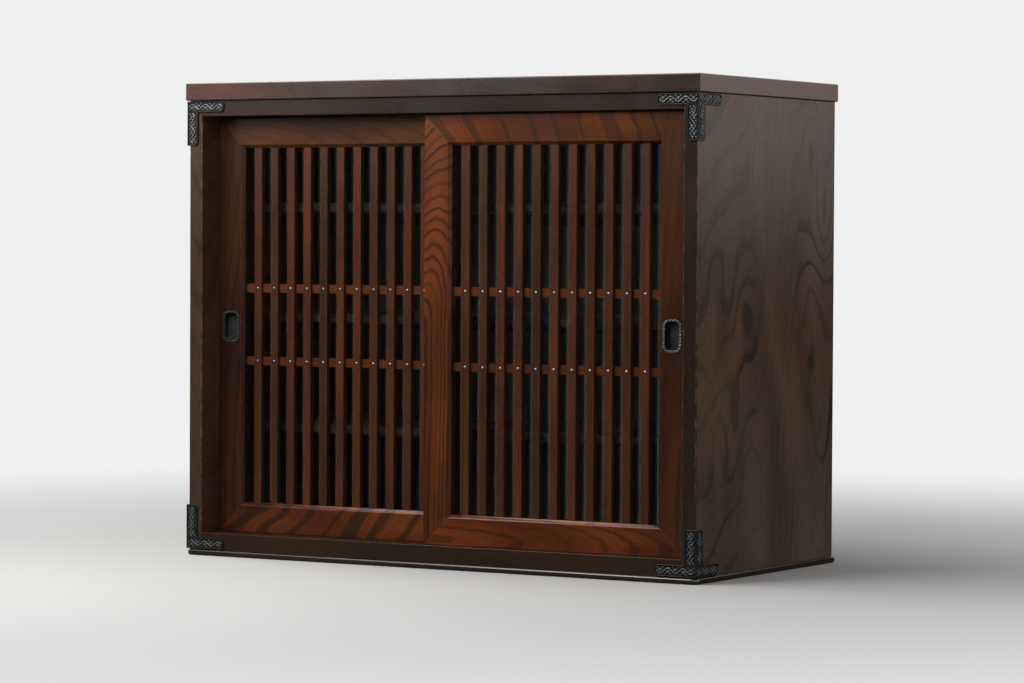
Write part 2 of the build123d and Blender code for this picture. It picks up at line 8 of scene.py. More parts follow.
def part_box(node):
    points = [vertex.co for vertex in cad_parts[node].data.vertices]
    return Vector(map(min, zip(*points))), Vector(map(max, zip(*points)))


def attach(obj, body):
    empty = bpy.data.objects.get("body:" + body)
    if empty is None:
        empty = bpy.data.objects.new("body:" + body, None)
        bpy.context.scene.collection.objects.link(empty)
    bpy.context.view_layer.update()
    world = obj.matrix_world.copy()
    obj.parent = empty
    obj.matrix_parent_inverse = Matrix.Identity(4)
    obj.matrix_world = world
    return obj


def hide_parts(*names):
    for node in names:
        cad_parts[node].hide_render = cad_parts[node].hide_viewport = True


bl_info = {
    "name": "Mizuya kitchen cabinet",
    "version": (1, 0, 0),
    "blender": (4, 5, 0),
    "location": "3D View > Sidebar > Cabinet",
    "description": "Dresses the packed cabinet with lacquered wood, cast iron, studs and glass",
    "category": "Add Mesh",
}

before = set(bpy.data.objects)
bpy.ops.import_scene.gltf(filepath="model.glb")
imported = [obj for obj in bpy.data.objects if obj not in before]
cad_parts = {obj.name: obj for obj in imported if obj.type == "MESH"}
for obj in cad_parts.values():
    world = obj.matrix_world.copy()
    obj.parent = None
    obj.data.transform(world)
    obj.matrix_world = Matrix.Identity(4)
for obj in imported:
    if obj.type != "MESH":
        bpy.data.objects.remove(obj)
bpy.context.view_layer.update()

MM = 0.001
DOORS = ("left_door", "right_door")
FRAME_MEMBERS = ("outer_stile", "meeting_stile", "bottom_rail", "top_rail")
CORNERS = ("top_left", "top_right", "bottom_left", "bottom_right")
BAR_COUNT = sum(1 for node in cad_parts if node.startswith("left_door_bar_"))


# ---- Settings that a user may change ----


def length(name, description, default):
    """A length setting, whose default is given in millimetres."""
    return bpy.props.FloatProperty(name=name, description=description, default=default * MM, unit="LENGTH")


def colour(name, description, default):
    """A colour setting."""
    return bpy.props.FloatVectorProperty(
        name=name, description=description, default=default, subtype="COLOR", min=0.0, max=1.0
    )


class CabinetSizes(bpy.types.PropertyGroup):
    """Sizes of the details that are added to the boards and castings."""

    board_edge: length("Board edge", "Rounding of the case boards' edges", 1.2)
    frame_edge: length("Frame edge", "Rounding of the door frames' edges", 0.6)
    bar_edge: length("Bar edge", "Rounding of the lattice bars' edges", 0.5)
    iron_edge: length("Iron edge", "Rounding of the corner irons' rims", 0.8)
    iron_border: length("Iron border", "Width of a corner iron's raised border", 0.5)
    relief: length("Relief", "Depth of the field inside a corner iron's border", 1.3)
    stem: length("Stem", "Radius of the vine's stem", 1.2)
    curl: length("Curl", "Radius of a curl of the vine", 3.3)
    swing: length("Swing", "How far the vine swings to either side", 3.6)
    bend: length("Bend", "Length of one bend of the vine", 13.0)
    rope_strand: length("Rope strand", "Radius of a strand of a pull's rope rim", 1.25)
    rope_corner: length("Rope corner", "Radius of the rope rim's corners", 9.0)
    rope_lumps: bpy.props.IntProperty(
        name="Rope lumps", description="Lumps of the rope round one pull", default=26, min=6
    )
    stud_radius: length("Stud radius", "Radius of a stud's dome", 2.4)
    stud_crown: length("Stud crown", "Height of a stud's dome", 1.7)


class CabinetFinish(bpy.types.PropertyGroup):
    """Colours of the lacquer, the stain and the metals, as linear values."""

    door_light: colour("Door light", "Light wood of the door frames", (0.235, 0.062, 0.016))
    door_deep: colour("Door deep", "Darker zones of the door frames", (0.115, 0.028, 0.010))
    door_line: colour("Door line", "Grain lines of the door frames", (0.030, 0.016, 0.009))
    case_light: colour("Case light", "Light wood of the side boards", (0.212, 0.116, 0.070))
    case_deep: colour("Case deep", "Darker zones of the side boards", (0.150, 0.082, 0.050))
    case_line: colour("Case line", "Grain lines of the side boards", (0.034, 0.030, 0.022))
    top_light: colour("Top light", "Light wood of the top board", (0.080, 0.036, 0.023))
    top_end: colour("Top end", "Ends of the top board", (0.240, 0.095, 0.058))
    top_deep: colour("Top deep", "Darker zones of the top board", (0.048, 0.025, 0.018))
    black_light: colour("Black light", "Near-black lacquer of the front", (0.030, 0.016, 0.009))
    black_deep: colour("Black deep", "Darker zones of the near-black lacquer", (0.020, 0.011, 0.007))
    bar_light: colour("Bar light", "Light wood of the lattice bars", (0.150, 0.044, 0.016))
    bar_deep: colour("Bar deep", "Darker zones of the lattice bars", (0.084, 0.029, 0.013))
    # The inside's stain is painted paler than the wood is, as painted light in the dark gaps of the lattice.
    inside_light_painted_paler: colour("Inside light", "Stained wood inside the case", (0.140, 0.112, 0.074))
    inside_deep_painted_paler: colour("Inside deep", "Darker zones inside the case", (0.092, 0.074, 0.049))
    shelf_light: colour("Shelf light", "Stained wood of the shelves", (0.100, 0.054, 0.038))
    shelf_deep: colour("Shelf deep", "Darker zones of the shelves", (0.064, 0.036, 0.026))
    iron: colour("Iron", "Blackened cast iron", (0.007, 0.008, 0.008))
    rubbed_iron: colour("Rubbed iron", "Bare metal where the castings are rubbed", (0.500, 0.515, 0.540))
    stud: colour("Stud", "Dulled bright studs", (0.50, 0.47, 0.42))


# ---- Node helpers ----


def put(tree, kind, sockets=None, **settings):
    """Add a node. `sockets` maps an input to a value or to another node's output."""
    node = tree.nodes.new(kind)
    for name, value in settings.items():
        setattr(node, name, value)
    for key, value in (sockets or {}).items():
        if isinstance(value, bpy.types.NodeSocket):
            tree.links.new(value, node.inputs[key])
        else:
            node.inputs[key].default_value = value
    return node


def out(tree, kind, sockets=None, **settings):
    """The first output of a new node."""
    return put(tree, kind, sockets, **settings).outputs[0]


def calc(tree, operation, *values):
    """A math node's output."""
    return out(tree, "ShaderNodeMath", dict(enumerate(values)), operation=operation)


def product(tree, first, *others):
    """Two or more values multiplied."""
    for value in others:
        first = calc(tree, "MULTIPLY", first, value)
    return first


def vector_calc(tree, operation, *values, output=0):
    """A vector math node's output."""
    node = put(tree, "ShaderNodeVectorMath", dict(enumerate(values)), operation=operation)
    return node.outputs[output]


def combined(tree, x=0.0, y=0.0, z=0.0):
    """A vector made of three values."""
    return out(tree, "ShaderNodeCombineXYZ", {0: x, 1: y, 2: z})


def separated(tree, vector):
    """A vector's three values."""
    return put(tree, "ShaderNodeSeparateXYZ", {0: vector}).outputs


def object_place(tree):
    """Object coordinates, which for a finished piece are the cabinet's own."""
    return put(tree, "ShaderNodeTexCoord").outputs["Object"]


def span(tree, value, low, high, to_low=0.0, to_high=1.0):
    """The value's way from low to high, eased at both ends."""
    sockets = {"Value": value, "From Min": low, "From Max": high, "To Min": to_low, "To Max": to_high}
    return put(tree, "ShaderNodeMapRange", sockets, interpolation_type="SMOOTHSTEP").outputs["Result"]


def mixed(tree, factor, first, second, mode="MIX"):
    """Two colours mixed by a factor."""
    sockets = {0: factor, 6: first, 7: second}
    return put(tree, "ShaderNodeMix", sockets, data_type="RGBA", blend_type=mode).outputs[2]


def shade(tree, red, green, blue):
    """A colour made of three values."""
    return out(tree, "ShaderNodeCombineColor", {0: red, 1: green, 2: blue})


def noise(tree, vector, scale, detail=2.0, roughness=0.5, seed=None):
    """A noise texture's value, with its own scale along each axis. A seed picks another cut of it."""
    stretched = vector_calc(tree, "MULTIPLY", vector, scale)
    sockets = {"Vector": stretched, "Scale": 1.0, "Detail": detail, "Roughness": roughness}
    if seed is None:
        return out(tree, "ShaderNodeTexNoise", sockets)
    return out(tree, "ShaderNodeTexNoise", {**sockets, "W": seed}, noise_dimensions="4D")


def chance_of(tree, number):
    """A chance value between 0 and 1 that belongs to a whole number."""
    return put(tree, "ShaderNodeTexWhiteNoise", {"W": number}, noise_dimensions="1D").outputs["Value"]


SOCKETS = {
    float: "NodeSocketFloat",
    int: "NodeSocketInt",
    tuple: "NodeSocketVector",
    list: "NodeSocketColor",
}


def new_group(name, kind, inputs, outputs):
    """A node group with named sockets. A list is a colour and a tuple a vector."""
    tree = bpy.data.node_groups.new(name, kind)
    for label, default in inputs.items():
        socket = tree.interface.new_socket(label, in_out="INPUT", socket_type=SOCKETS[type(default)])
        socket.default_value = default
    for label, socket_type in outputs.items():
        tree.interface.new_socket(label, in_out="OUTPUT", socket_type=socket_type)
    given = tree.nodes.new("NodeGroupInput").outputs
    result = tree.nodes.new("NodeGroupOutput").inputs
    return tree, given, result


# ---- Shared shader effects ----


FINE_PER_RING = 3.0
# Ripples are this share of a ring's width high, and rings wider than RIPPLE_RING don't make them higher.
RIPPLE_SHARE = 0.45
RIPPLE_RING = 0.014
# The share of its strength that the palest ring's line keeps.
PALEST_LINE = 0.55
# At full fineness a ring's own line loses this share, and the thin lines gain this much.
LONE_LINE_LOSS = 0.62
FINE_LINE_GAIN = 0.24


def ring_radius(tree, given):
    """The distance from the pith, with the swells and ripples of real rings."""
    place = given["Vector"]
    slow = calc(tree, "DIVIDE", 1.0, given["Wavelength"])
    swell_scale = combined(tree, slow, slow, product(tree, slow, 0.5))
    swell = noise(tree, place, swell_scale, detail=1.0, seed=given["Seed"])
    ripple = noise(tree, place, (90.0, 90.0, 30.0))
    ripple_height = product(tree, calc(tree, "MINIMUM", given["Ring"], RIPPLE_RING), RIPPLE_SHARE)
    shift = product(tree, calc(tree, "SUBTRACT", swell, 0.5), given["Waviness"])
    shift = calc(tree, "MULTIPLY_ADD", calc(tree, "SUBTRACT", ripple, 0.5), ripple_height, shift)

    across_x, across_y, along = separated(tree, vector_calc(tree, "SUBTRACT", place, given["Pith"]))
    climb = calc(tree, "SMOOTH_MAX", along, 0.0, 0.05)
    across_x = calc(tree, "SUBTRACT", across_x, product(tree, climb, given["Lean"]))
    reach = combined(tree, across_x, across_y, product(tree, climb, given["Crown"]))
    radius = calc(tree, "MULTIPLY_ADD", along, given["Drift"], vector_calc(tree, "LENGTH", reach, output=1))
    return calc(tree, "ADD", radius, shift)


def ring_turns(tree, given, radius, spacing, pace):
    """A count of rings whose spacing grows and shrinks."""
    turns = calc(tree, "ADD", calc(tree, "DIVIDE", radius, spacing), given["Swirl"])
    sockets = {"W": turns, "Scale": pace, "Detail": 1.0}
    season = out(tree, "ShaderNodeTexNoise", sockets, noise_dimensions="1D")
    return calc(tree, "MULTIPLY_ADD", calc(tree, "SUBTRACT", season, 0.5), given["Irregular"], turns)


def ring_lines(tree, given, turns, chance):
    """Each ring's own dark line, sharp on its outer side, and the thin lines between."""
    ring = calc(tree, "FRACT", turns)
    swollen = span(tree, noise(tree, given["Vector"], (16.0, 16.0, 9.0), detail=1.0), 0.42, 0.66)
    width = calc(tree, "ADD", given["Line width"], product(tree, swollen, given["Swelling"]))
    line = product(
        tree,
        span(tree, ring, calc(tree, "SUBTRACT", 1.0, width), calc(tree, "MULTIPLY_ADD", width, -0.45, 1.0)),
        span(tree, ring, 0.94, 1.0, 1.0, 0.0),
        span(tree, chance, 0.0, 1.0, PALEST_LINE, 1.0),
        given["Line strength"],
        calc(tree, "MULTIPLY_ADD", given["Fineness"], -LONE_LINE_LOSS, 1.0),
    )
    wave = calc(tree, "SINE", product(tree, turns, FINE_PER_RING * 2.0 * math.pi))
    share = calc(tree, "MULTIPLY_ADD", given["Fineness"], FINE_LINE_GAIN, given["Fine lines"])
    fine = product(tree, span(tree, wave, 0.2, 1.0), product(tree, given["Line strength"], share))
    return calc(tree, "MAXIMUM", line, fine)


def dark_bands(tree, given, radius):
    """Broad dark bands that follow the rings."""
    ring = calc(tree, "FRACT", ring_turns(tree, given, radius, given["Band"], 0.7))
    from_middle = calc(tree, "ABSOLUTE", calc(tree, "SUBTRACT", ring, 0.5))
    half = product(tree, given["Band width"], 0.5)
    band = span(tree, from_middle, product(tree, half, 0.6), product(tree, half, 1.35), 1.0, 0.0)
    return product(tree, band, given["Band strength"])


def wood_figure_group():
    """Growth rings as they show on a sawn board whose grain runs along Z.

    Rings lie round the pith. Above it, `Crown` bends them over into a cathedral, whose middle `Lean`
    carries sideways; below it they run straight. `Swirl` adds rings of its own, for hills and hollows in
    the figure. `Fineness` trades a ring's own line for thin ones, `Fade` lets lines die out in places, and
    `Swelling` lets them spread into dark patches. `Band` is the distance between broad dark bands.
    `Irregular` makes rings wider and narrower, and `Seed` picks another cut of the same tree.
    """
    tree, given, result = new_group(
        "wood_figure",
        "ShaderNodeTree",
        {
            "Vector": (0.0, 0.0, 0.0),
            "Pith": (0.0, 0.0, 0.0),
            "Crown": 0.3,
            "Lean": 0.0,
            "Drift": 0.02,
            "Seed": 0.0,
            "Ring": 0.006,
            "Swirl": 0.0,
            "Line width": 0.35,
            "Line strength": 0.6,
            "Fine lines": 0.3,
            "Fineness": 0.0,
            "Fade": 0.0,
            "Swelling": 0.0,
            "Band": 0.05,
            "Band width": 0.22,
            "Band strength": 0.5,
            "Irregular": 1.0,
            "Waviness": 0.01,
            "Wavelength": 0.12,
            "Light": [0.2, 0.06, 0.02, 1.0],
            "Deep": [0.1, 0.03, 0.01, 1.0],
            "Line": [0.03, 0.015, 0.01, 1.0],
        },
        {"Color": "NodeSocketColor", "Lines": "NodeSocketFloat", "Height": "NodeSocketFloat"},
    )
    place = given["Vector"]
    radius = ring_radius(tree, given)
    turns = ring_turns(tree, given, radius, given["Ring"], 0.4)
    chance = chance_of(tree, calc(tree, "FLOOR", turns))
    lines = calc(tree, "MAXIMUM", ring_lines(tree, given, turns, chance), dark_bands(tree, given, radius))
    faint = span(tree, noise(tree, place, (10.0, 10.0, 4.0), detail=1.0), 0.40, 0.58, 0.85, 0.0)
    lines = product(tree, lines, calc(tree, "SUBTRACT", 1.0, product(tree, faint, given["Fade"])))

    fibre = noise(tree, place, (1500.0, 1500.0, 45.0), detail=3.0, roughness=0.6)
    pores = span(tree, noise(tree, place, (2600.0, 2600.0, 160.0), detail=1.0), 0.54, 0.68)
    pore = product(tree, pores, calc(tree, "MULTIPLY_ADD", lines, 0.7, 0.25))
    cloud = span(tree, noise(tree, place, (14.0, 14.0, 4.0), detail=3.0), 0.32, 0.66)
    zone = calc(tree, "MULTIPLY_ADD", calc(tree, "SUBTRACT", chance, 0.5), 0.10, cloud)

    body = mixed(tree, zone, given["Light"], given["Deep"])
    body = mixed(tree, lines, body, given["Line"])
    body = mixed(tree, product(tree, pore, 0.45), body, given["Line"])
    grey = span(tree, fibre, 0.3, 0.7, 0.78, 1.18)
    tree.links.new(mixed(tree, 1.0, body, shade(tree, grey, grey, grey), "MULTIPLY"), result["Color"])
    tree.links.new(lines, result["Lines"])
    depth = calc(tree, "MULTIPLY_ADD", pore, -0.6, product(tree, fibre, 0.25))
    tree.links.new(calc(tree, "MULTIPLY_ADD", lines, -0.35, depth), result["Height"])
    return tree


def worn_edge_group():
    """Wear on rounded edges: the lacquer is rubbed paler in patches."""
    tree, given, result = new_group(
        "worn_edge",
        "ShaderNodeTree",
        {
            "Vector": (0.0, 0.0, 0.0),
            "Amount": 0.5,
            "Base": [0.1, 0.03, 0.01, 1.0],
            "Worn": [0.3, 0.15, 0.08, 1.0],
        },
        {"Color": "NodeSocketColor", "Wear": "NodeSocketFloat"},
    )
    edge = put(tree, "ShaderNodeAttribute", attribute_name="edge").outputs["Fac"]
    patches = noise(tree, given["Vector"], (60.0, 60.0, 60.0), detail=4.0, roughness=0.65)
    wear = product(tree, span(tree, patches, 0.42, 0.7), product(tree, edge, given["Amount"]))
    tree.links.new(mixed(tree, wear, given["Base"], given["Worn"]), result["Color"])
    tree.links.new(wear, result["Wear"])
    return tree


def lacquer_haze_group():
    """Roughness of old lacquer: rubbed smooth, with dull smudges, and duller along the wood's lines."""
    tree, given, result = new_group(
        "lacquer_haze",
        "ShaderNodeTree",
        {"Vector": (0.0, 0.0, 0.0), "Smooth": 0.24, "Dull": 0.42, "Lines": 0.0},
        {"Roughness": "NodeSocketFloat"},
    )
    smudge = noise(tree, given["Vector"], (9.0, 9.0, 9.0), detail=5.0, roughness=0.62)
    rough = calc(tree, "MULTIPLY_ADD", given["Lines"], 0.35, span(tree, smudge, 0.35, 0.7))
    reach = calc(tree, "SUBTRACT", given["Dull"], given["Smooth"])
    tree.links.new(calc(tree, "MULTIPLY_ADD", rough, reach, given["Smooth"]), result["Roughness"])
    return tree


def cast_skin_group():
    """The pitted, paint-filled skin of a sand casting, rubbed bright on what stands proud."""
    tree, given, result = new_group(
        "cast_skin",
        "ShaderNodeTree",
        {"Vector": (0.0, 0.0, 0.0), "Base": [0.02, 0.02, 0.02, 1.0], "Rubbed": [0.2, 0.2, 0.2, 1.0]},
        {
            "Color": "NodeSocketColor",
            "Bare": "NodeSocketFloat",
            "Height": "NodeSocketFloat",
            "Roughness": "NodeSocketFloat",
        },
    )
    grain = noise(tree, given["Vector"], (900.0, 900.0, 900.0), detail=4.0, roughness=0.7)
    lumps = noise(tree, given["Vector"], (260.0, 260.0, 260.0))
    proud = put(tree, "ShaderNodeAttribute", attribute_name="proud").outputs["Fac"]
    bare = product(tree, proud, span(tree, grain, 0.36, 0.56))
    tree.links.new(mixed(tree, bare, given["Base"], given["Rubbed"]), result["Color"])
    tree.links.new(bare, result["Bare"])
    tree.links.new(calc(tree, "MULTIPLY_ADD", lumps, 1.4, grain), result["Height"])
    tree.links.new(span(tree, grain, 0.3, 0.7, 0.17, 0.26), result["Roughness"])
    return tree


GROUPS = {}


def effect(tree, name, sockets):
    """A shared effect, placed in a material with its own values."""
    return put(tree, "ShaderNodeGroup", sockets, node_tree=GROUPS[name]).outputs


def placed_effect(tree, name):
    """The node with which a material uses a shared effect."""
    return next(node for node in tree.nodes if node.type == "GROUP" and node.node_tree == GROUPS[name])


# ---- Materials ----


def new_material(name):
    """A material with an empty Principled shader."""
    material = bpy.data.materials.new(name)
    material.use_nodes = True
    tree = material.node_tree
    shader = tree.nodes["Principled BSDF"]
    return material, tree, shader


def rgba(value):
    """A colour setting with its alpha."""
    return [*value, 1.0]


GRAIN_TURNS = {
    "X": Matrix.Rotation(math.radians(-90.0), 3, "Y"),
    "Y": Matrix.Rotation(math.radians(90.0), 3, "X"),
    "Z": Matrix.Identity(3),
}


def grain_place(tree, node, grain):
    """Object coordinates from the middle of a node's box, turned so that its grain runs along Z."""
    low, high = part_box(node)
    turn = GRAIN_TURNS[grain]
    centre = (low + high) / 2
    sockets = {"Vector": object_place(tree), "Location": -(turn @ centre), "Rotation": turn.to_euler()}
    return out(tree, "ShaderNodeMapping", sockets)


# How rough a lacquer is where it's rubbed smooth and where it's dull, its sheen, and its clear coat if any.
CASE_LACQUER = {"smooth": 0.17, "dull": 0.26, "sheen": 0.42}
DOOR_LACQUER = {"smooth": 0.18, "dull": 0.26, "sheen": 0.30}
BAR_LACQUER = {"smooth": 0.20, "dull": 0.27, "sheen": 0.30}
TRACK_LACQUER = {"smooth": 0.26, "dull": 0.36, "sheen": 0.27}
TOP_LACQUER = {"smooth": 0.24, "dull": 0.34, "sheen": 0.36, "coat": 0.32}
PLAIN_STAIN = {"smooth": 0.48, "dull": 0.64, "sheen": 0.15}
NOSE_LACQUER = {"smooth": 0.14, "dull": 0.22, "sheen": 0.90}

UNTINTED = (1.0, 1.0, 1.0)


def lacquered_wood(name, node, grain, tones, figure, lacquer, wear=0.5, tint=UNTINTED):
    """Figured wood under old lacquer.

    `tones` are the light wood, its darker zones and its lines, and `tint` multiplies them. `figure` holds
    the wood_figure group's own values, and `wear` says how far the edges are rubbed.
    """
    material, tree, shader = new_material(name)
    place = grain_place(tree, node, grain)
    light, deep, line = (rgba([channel * part for channel, part in zip(tone, tint)]) for tone in tones)
    colours = {"Light": light, "Deep": deep, "Line": line}
    wood = effect(tree, "wood_figure", {"Vector": place, **colours, **figure})
    worn = rgba([min(1.0, channel * 2.2 + 0.02) for channel in tones[0]])
    rubbed = effect(tree, "worn_edge", {"Vector": place, "Amount": wear, "Base": wood["Color"], "Worn": worn})
    haze = {"Vector": place, "Smooth": lacquer["smooth"], "Dull": lacquer["dull"], "Lines": wood["Lines"]}
    bump = put(tree, "ShaderNodeBump", {"Height": wood["Height"], "Distance": 0.00006, "Strength": 0.6})
    tree.links.new(rubbed["Color"], shader.inputs["Base Color"])
    tree.links.new(effect(tree, "lacquer_haze", haze)["Roughness"], shader.inputs["Roughness"])
    tree.links.new(bump.outputs[0], shader.inputs["Normal"])
    shader.inputs["Coat Weight"].default_value = lacquer.get("coat", 0.0)
    shader.inputs["Coat Roughness"].default_value = 0.12
    shader.inputs["Specular IOR Level"].default_value = lacquer["sheen"]
    return material


def wood_link(material):
    """The socket that takes the wood's colour before wear, and what feeds it now."""
    base = placed_effect(material.node_tree, "worn_edge").inputs["Base"]
    return base, base.links[0].from_socket


def tint_as_painted_light(material, axis, start, stop, tint):
    """Paint light or shade into the wood as a tint along an axis: not at all at `start`, and in full at
    `stop` and beyond.
    """
    tree = material.node_tree
    target, wood = wood_link(material)
    along = separated(tree, object_place(tree))["XYZ".index(axis)]
    reached = span(tree, along, start, stop) if stop > start else span(tree, along, stop, start, 1.0, 0.0)
    tree.links.new(mixed(tree, reached, wood, rgba(tint), "MULTIPLY"), target)


# ---- Mesh helpers ----


def dress(node, material):
    """Give a CAD node a finer material; its mesh stays as it is."""
    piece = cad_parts[node]
    piece.data.materials.clear()
    piece.data.materials.append(material)


def add_piece(name, mesh, body, material=None):
    """A finished piece at the origin, riding on a body."""
    piece = bpy.data.objects.new(name, mesh)
    bpy.context.scene.collection.objects.link(piece)
    if material:
        mesh.materials.clear()
        mesh.materials.append(material)
    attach(piece, body)
    return piece


def joined_faces(node):
    """A CAD node's surface as one joined mesh with flat faces."""
    surface = bmesh.new()
    surface.from_mesh(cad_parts[node].data)
    bmesh.ops.remove_doubles(surface, verts=surface.verts, dist=2e-6)
    bmesh.ops.dissolve_limit(
        surface, angle_limit=math.radians(0.5), verts=surface.verts, edges=surface.edges, delimit={"NORMAL"}
    )
    return surface


def soften(surface, radius, shortest, segments=2, steep=25.0):
    """Round the outer edges longer than `shortest` and mark the new faces with the attribute `edge`."""
    mark = surface.faces.layers.float.new("edge")
    edges = [
        edge
        for edge in surface.edges
        if edge.is_manifold
        and edge.is_convex
        and edge.calc_length() > shortest
        and edge.calc_face_angle() > math.radians(steep)
    ]
    made = bmesh.ops.bevel(
        surface, geom=edges, offset=radius, segments=segments, profile=0.5, affect="EDGES", clamp_overlap=True
    )
    for face in made["faces"]:
        face[mark] = 1.0
    return surface


def to_mesh(surface, name, smooth_angle=30.0):
    """Turn a bmesh into a mesh whose edges shade as round and whose broad faces stay flat."""
    mesh = bpy.data.meshes.new(name)
    surface.to_mesh(mesh)
    surface.free()
    mesh.shade_smooth()
    mesh.set_sharp_from_angle(angle=math.radians(smooth_angle))
    holder = bpy.data.objects.new(name, mesh)
    bpy.context.scene.collection.objects.link(holder)
    weighted = holder.modifiers.new("flat_faces", "WEIGHTED_NORMAL")
    weighted.keep_sharp = True
    weighted.weight = 100
    graph = bpy.context.evaluated_depsgraph_get()
    flat = bpy.data.meshes.new_from_object(holder.evaluated_get(graph), depsgraph=graph)
    bpy.data.objects.remove(holder)
    flat.name = name
    return flat


def soft_board(node, body, material, radius, shortest=0.04):
    """A board with rounded edges that stands for its CAD node."""
    surface = soften(joined_faces(node), radius, shortest)
    piece = add_piece(f"{node}_finished", to_mesh(surface, node), body, material)
    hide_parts(node)
    return piece


def mark_proud(mesh, shares):
    """Set the attribute `proud`, which says how far each vertex is rubbed bare."""
    layer = mesh.attributes.new("proud", "FLOAT", "POINT")
    layer.data.foreach_set("value", shares)


def mark_crests(mesh, foot):
    """Mark a relief as proud by its height along Z: not at all below `foot`, and in full at the crest."""
    crest = max(vertex.co.z for vertex in mesh.vertices)
    heights = [vertex.co.z / crest for vertex in mesh.vertices]
    mark_proud(mesh, [min(1.0, max(0.0, (height - foot) / (1.0 - foot))) for height in heights])


# ---- Geometry node helpers ----


def grown_mesh(tree, name, values):
    """Run a geometry tree once and keep its result as a plain mesh."""
    base = bpy.data.objects.new(name, bpy.data.meshes.new(name))
    bpy.context.scene.collection.objects.link(base)
    modifier = base.modifiers.new("grow", "NODES")
    modifier.node_group = tree
    for item in tree.interface.items_tree:
        if item.item_type == "SOCKET" and item.in_out == "INPUT" and item.name in values:
            modifier[item.identifier] = values[item.name]
    graph = bpy.context.evaluated_depsgraph_get()
    mesh = bpy.data.meshes.new_from_object(base.evaluated_get(graph), depsgraph=graph)
    mesh.name = name
    base.modifiers.clear()
    bpy.data.objects.remove(base)
    return mesh


def joined(tree, *parts):
    """Several pieces of geometry as one."""
    node = put(tree, "GeometryNodeJoinGeometry")
    for part in parts:
        tree.links.new(part, node.inputs[0])
    return node.outputs[0]


def round_bar(tree, curve, radius, caps=False):
    """A round bar along a curve, with closed ends if asked."""
    section = out(tree, "GeometryNodeCurvePrimitiveCircle", {"Resolution": 8, "Radius": radius})
    sockets = {"Curve": curve, "Profile Curve": section, "Fill Caps": caps}
    return out(tree, "GeometryNodeCurveToMesh", sockets)


def finish_tree(tree, result, geometry, material):
    """End a geometry tree with real geometry and its material."""
    real = out(tree, "GeometryNodeRealizeInstances", {0: geometry})
    coloured = out(tree, "GeometryNodeSetMaterial", {"Geometry": real, "Material": material})
    tree.links.new(coloured, result["Geometry"])


# A stud's ball of radius 1 is cut away below this height.
DOME_FOOT = -0.05
# The least and greatest turn of a stud about X, Y and Z, in radians, and the seed that picks between them.
STUD_TURNS = {0: (1.52, 0.0, -0.05), 1: (1.62, 3.0, 0.05), "Seed": 7}


def stud_tree(material):
    """Domed studs on a grid of lattice crossings, each turned a little by chance."""
    tree, given, result = new_group(
        "lattice_studs",
        "GeometryNodeTree",
        {
            "Count": 11,
            "Pitch": 0.03,
            "First": (0.0, 0.0, 0.0),
            "Rise": 0.1,
            "Radius": 0.0024,
            "Crown": 0.0017,
        },
        {"Geometry": "NodeSocketGeometry"},
    )
    stride = combined(tree, x=given["Pitch"])
    sockets = {"Count": given["Count"], "Start Location": given["First"], "Offset": stride}
    lower = out(tree, "GeometryNodeMeshLine", sockets)
    rise = combined(tree, z=given["Rise"])
    upper = out(tree, "GeometryNodeTransform", {"Geometry": lower, "Translation": rise})
    ball = out(tree, "GeometryNodeMeshUVSphere", {"Segments": 20, "Rings": 12, "Radius": 1.0})
    height = separated(tree, out(tree, "GeometryNodeInputPosition"))[2]
    below = calc(tree, "LESS_THAN", height, DOME_FOOT)
    dome = out(tree, "GeometryNodeDeleteGeometry", {"Geometry": ball, "Selection": below}, domain="POINT")
    sockets = {
        "Points": joined(tree, lower, upper),
        "Instance": out(tree, "GeometryNodeSetShadeSmooth", {"Geometry": dome}),
        "Rotation": out(tree, "FunctionNodeRandomValue", STUD_TURNS, data_type="FLOAT_VECTOR"),
        "Scale": combined(tree, given["Radius"], given["Radius"], given["Crown"]),
    }
    finish_tree(tree, result, out(tree, "GeometryNodeInstanceOnPoints", sockets), material)
    return tree


ROPE_SPREAD = 0.95


def rope_tree(material):
    """A rope of two twisted strands laid round an oblong with rounded corners, in the XY plane."""
    tree, given, result = new_group(
        "rope_rim",
        "GeometryNodeTree",
        {"Width": 0.028, "Height": 0.046, "Corner": 0.009, "Strand": 0.001, "Lumps": 30},
        {"Geometry": "NodeSocketGeometry"},
    )
    sockets = {"Width": given["Width"], "Height": given["Height"]}
    oblong = out(tree, "GeometryNodeCurvePrimitiveQuadrilateral", sockets, mode="RECTANGLE")
    sockets = {"Curve": oblong, "Count": 10, "Radius": given["Corner"], "Limit Radius": True}
    rounded = out(tree, "GeometryNodeFilletCurve", sockets, mode="POLY")
    path = out(tree, "GeometryNodeResampleCurve", {"Curve": rounded, "Count": 300})
    way = put(tree, "GeometryNodeSplineParameter").outputs["Factor"]
    twist = product(tree, way, given["Lumps"], math.pi)
    path = out(tree, "GeometryNodeSetCurveTilt", {"Curve": path, "Tilt": twist})
    strands = []
    for side in (-1.0, 1.0):
        sockets = {"Resolution": 10, "Radius": given["Strand"]}
        circle = out(tree, "GeometryNodeCurvePrimitiveCircle", sockets)
        aside = combined(tree, x=product(tree, given["Strand"], ROPE_SPREAD * side))
        strands.append(out(tree, "GeometryNodeTransform", {"Geometry": circle, "Translation": aside}))
    sockets = {"Curve": path, "Profile Curve": joined(tree, *strands)}
    rope = out(tree, "GeometryNodeCurveToMesh", sockets)
    rope = out(tree, "GeometryNodeSetShadeSmooth", {"Geometry": rope})
    finish_tree(tree, result, rope, material)
    return tree


# Where each leaf lies beside a curl of radius 1, and how far it's turned.
LEAVES = ((1.40, 0.85, 0.75), (-1.40, 0.80, 2.35), (1.30, -0.85, -0.85), (-1.30, -0.80, -2.3))
LEAF_SIZE = (0.72, 0.34, 0.36)
CURL_SPIRAL = {"Resolution": 18, "Rotations": 1.15, "Start Radius": 0.12, "End Radius": 1.0, "Height": 0.0}
CURL_BAR = 0.31
BUD_RADIUS = 0.42
CURL_OFFSET = 0.55


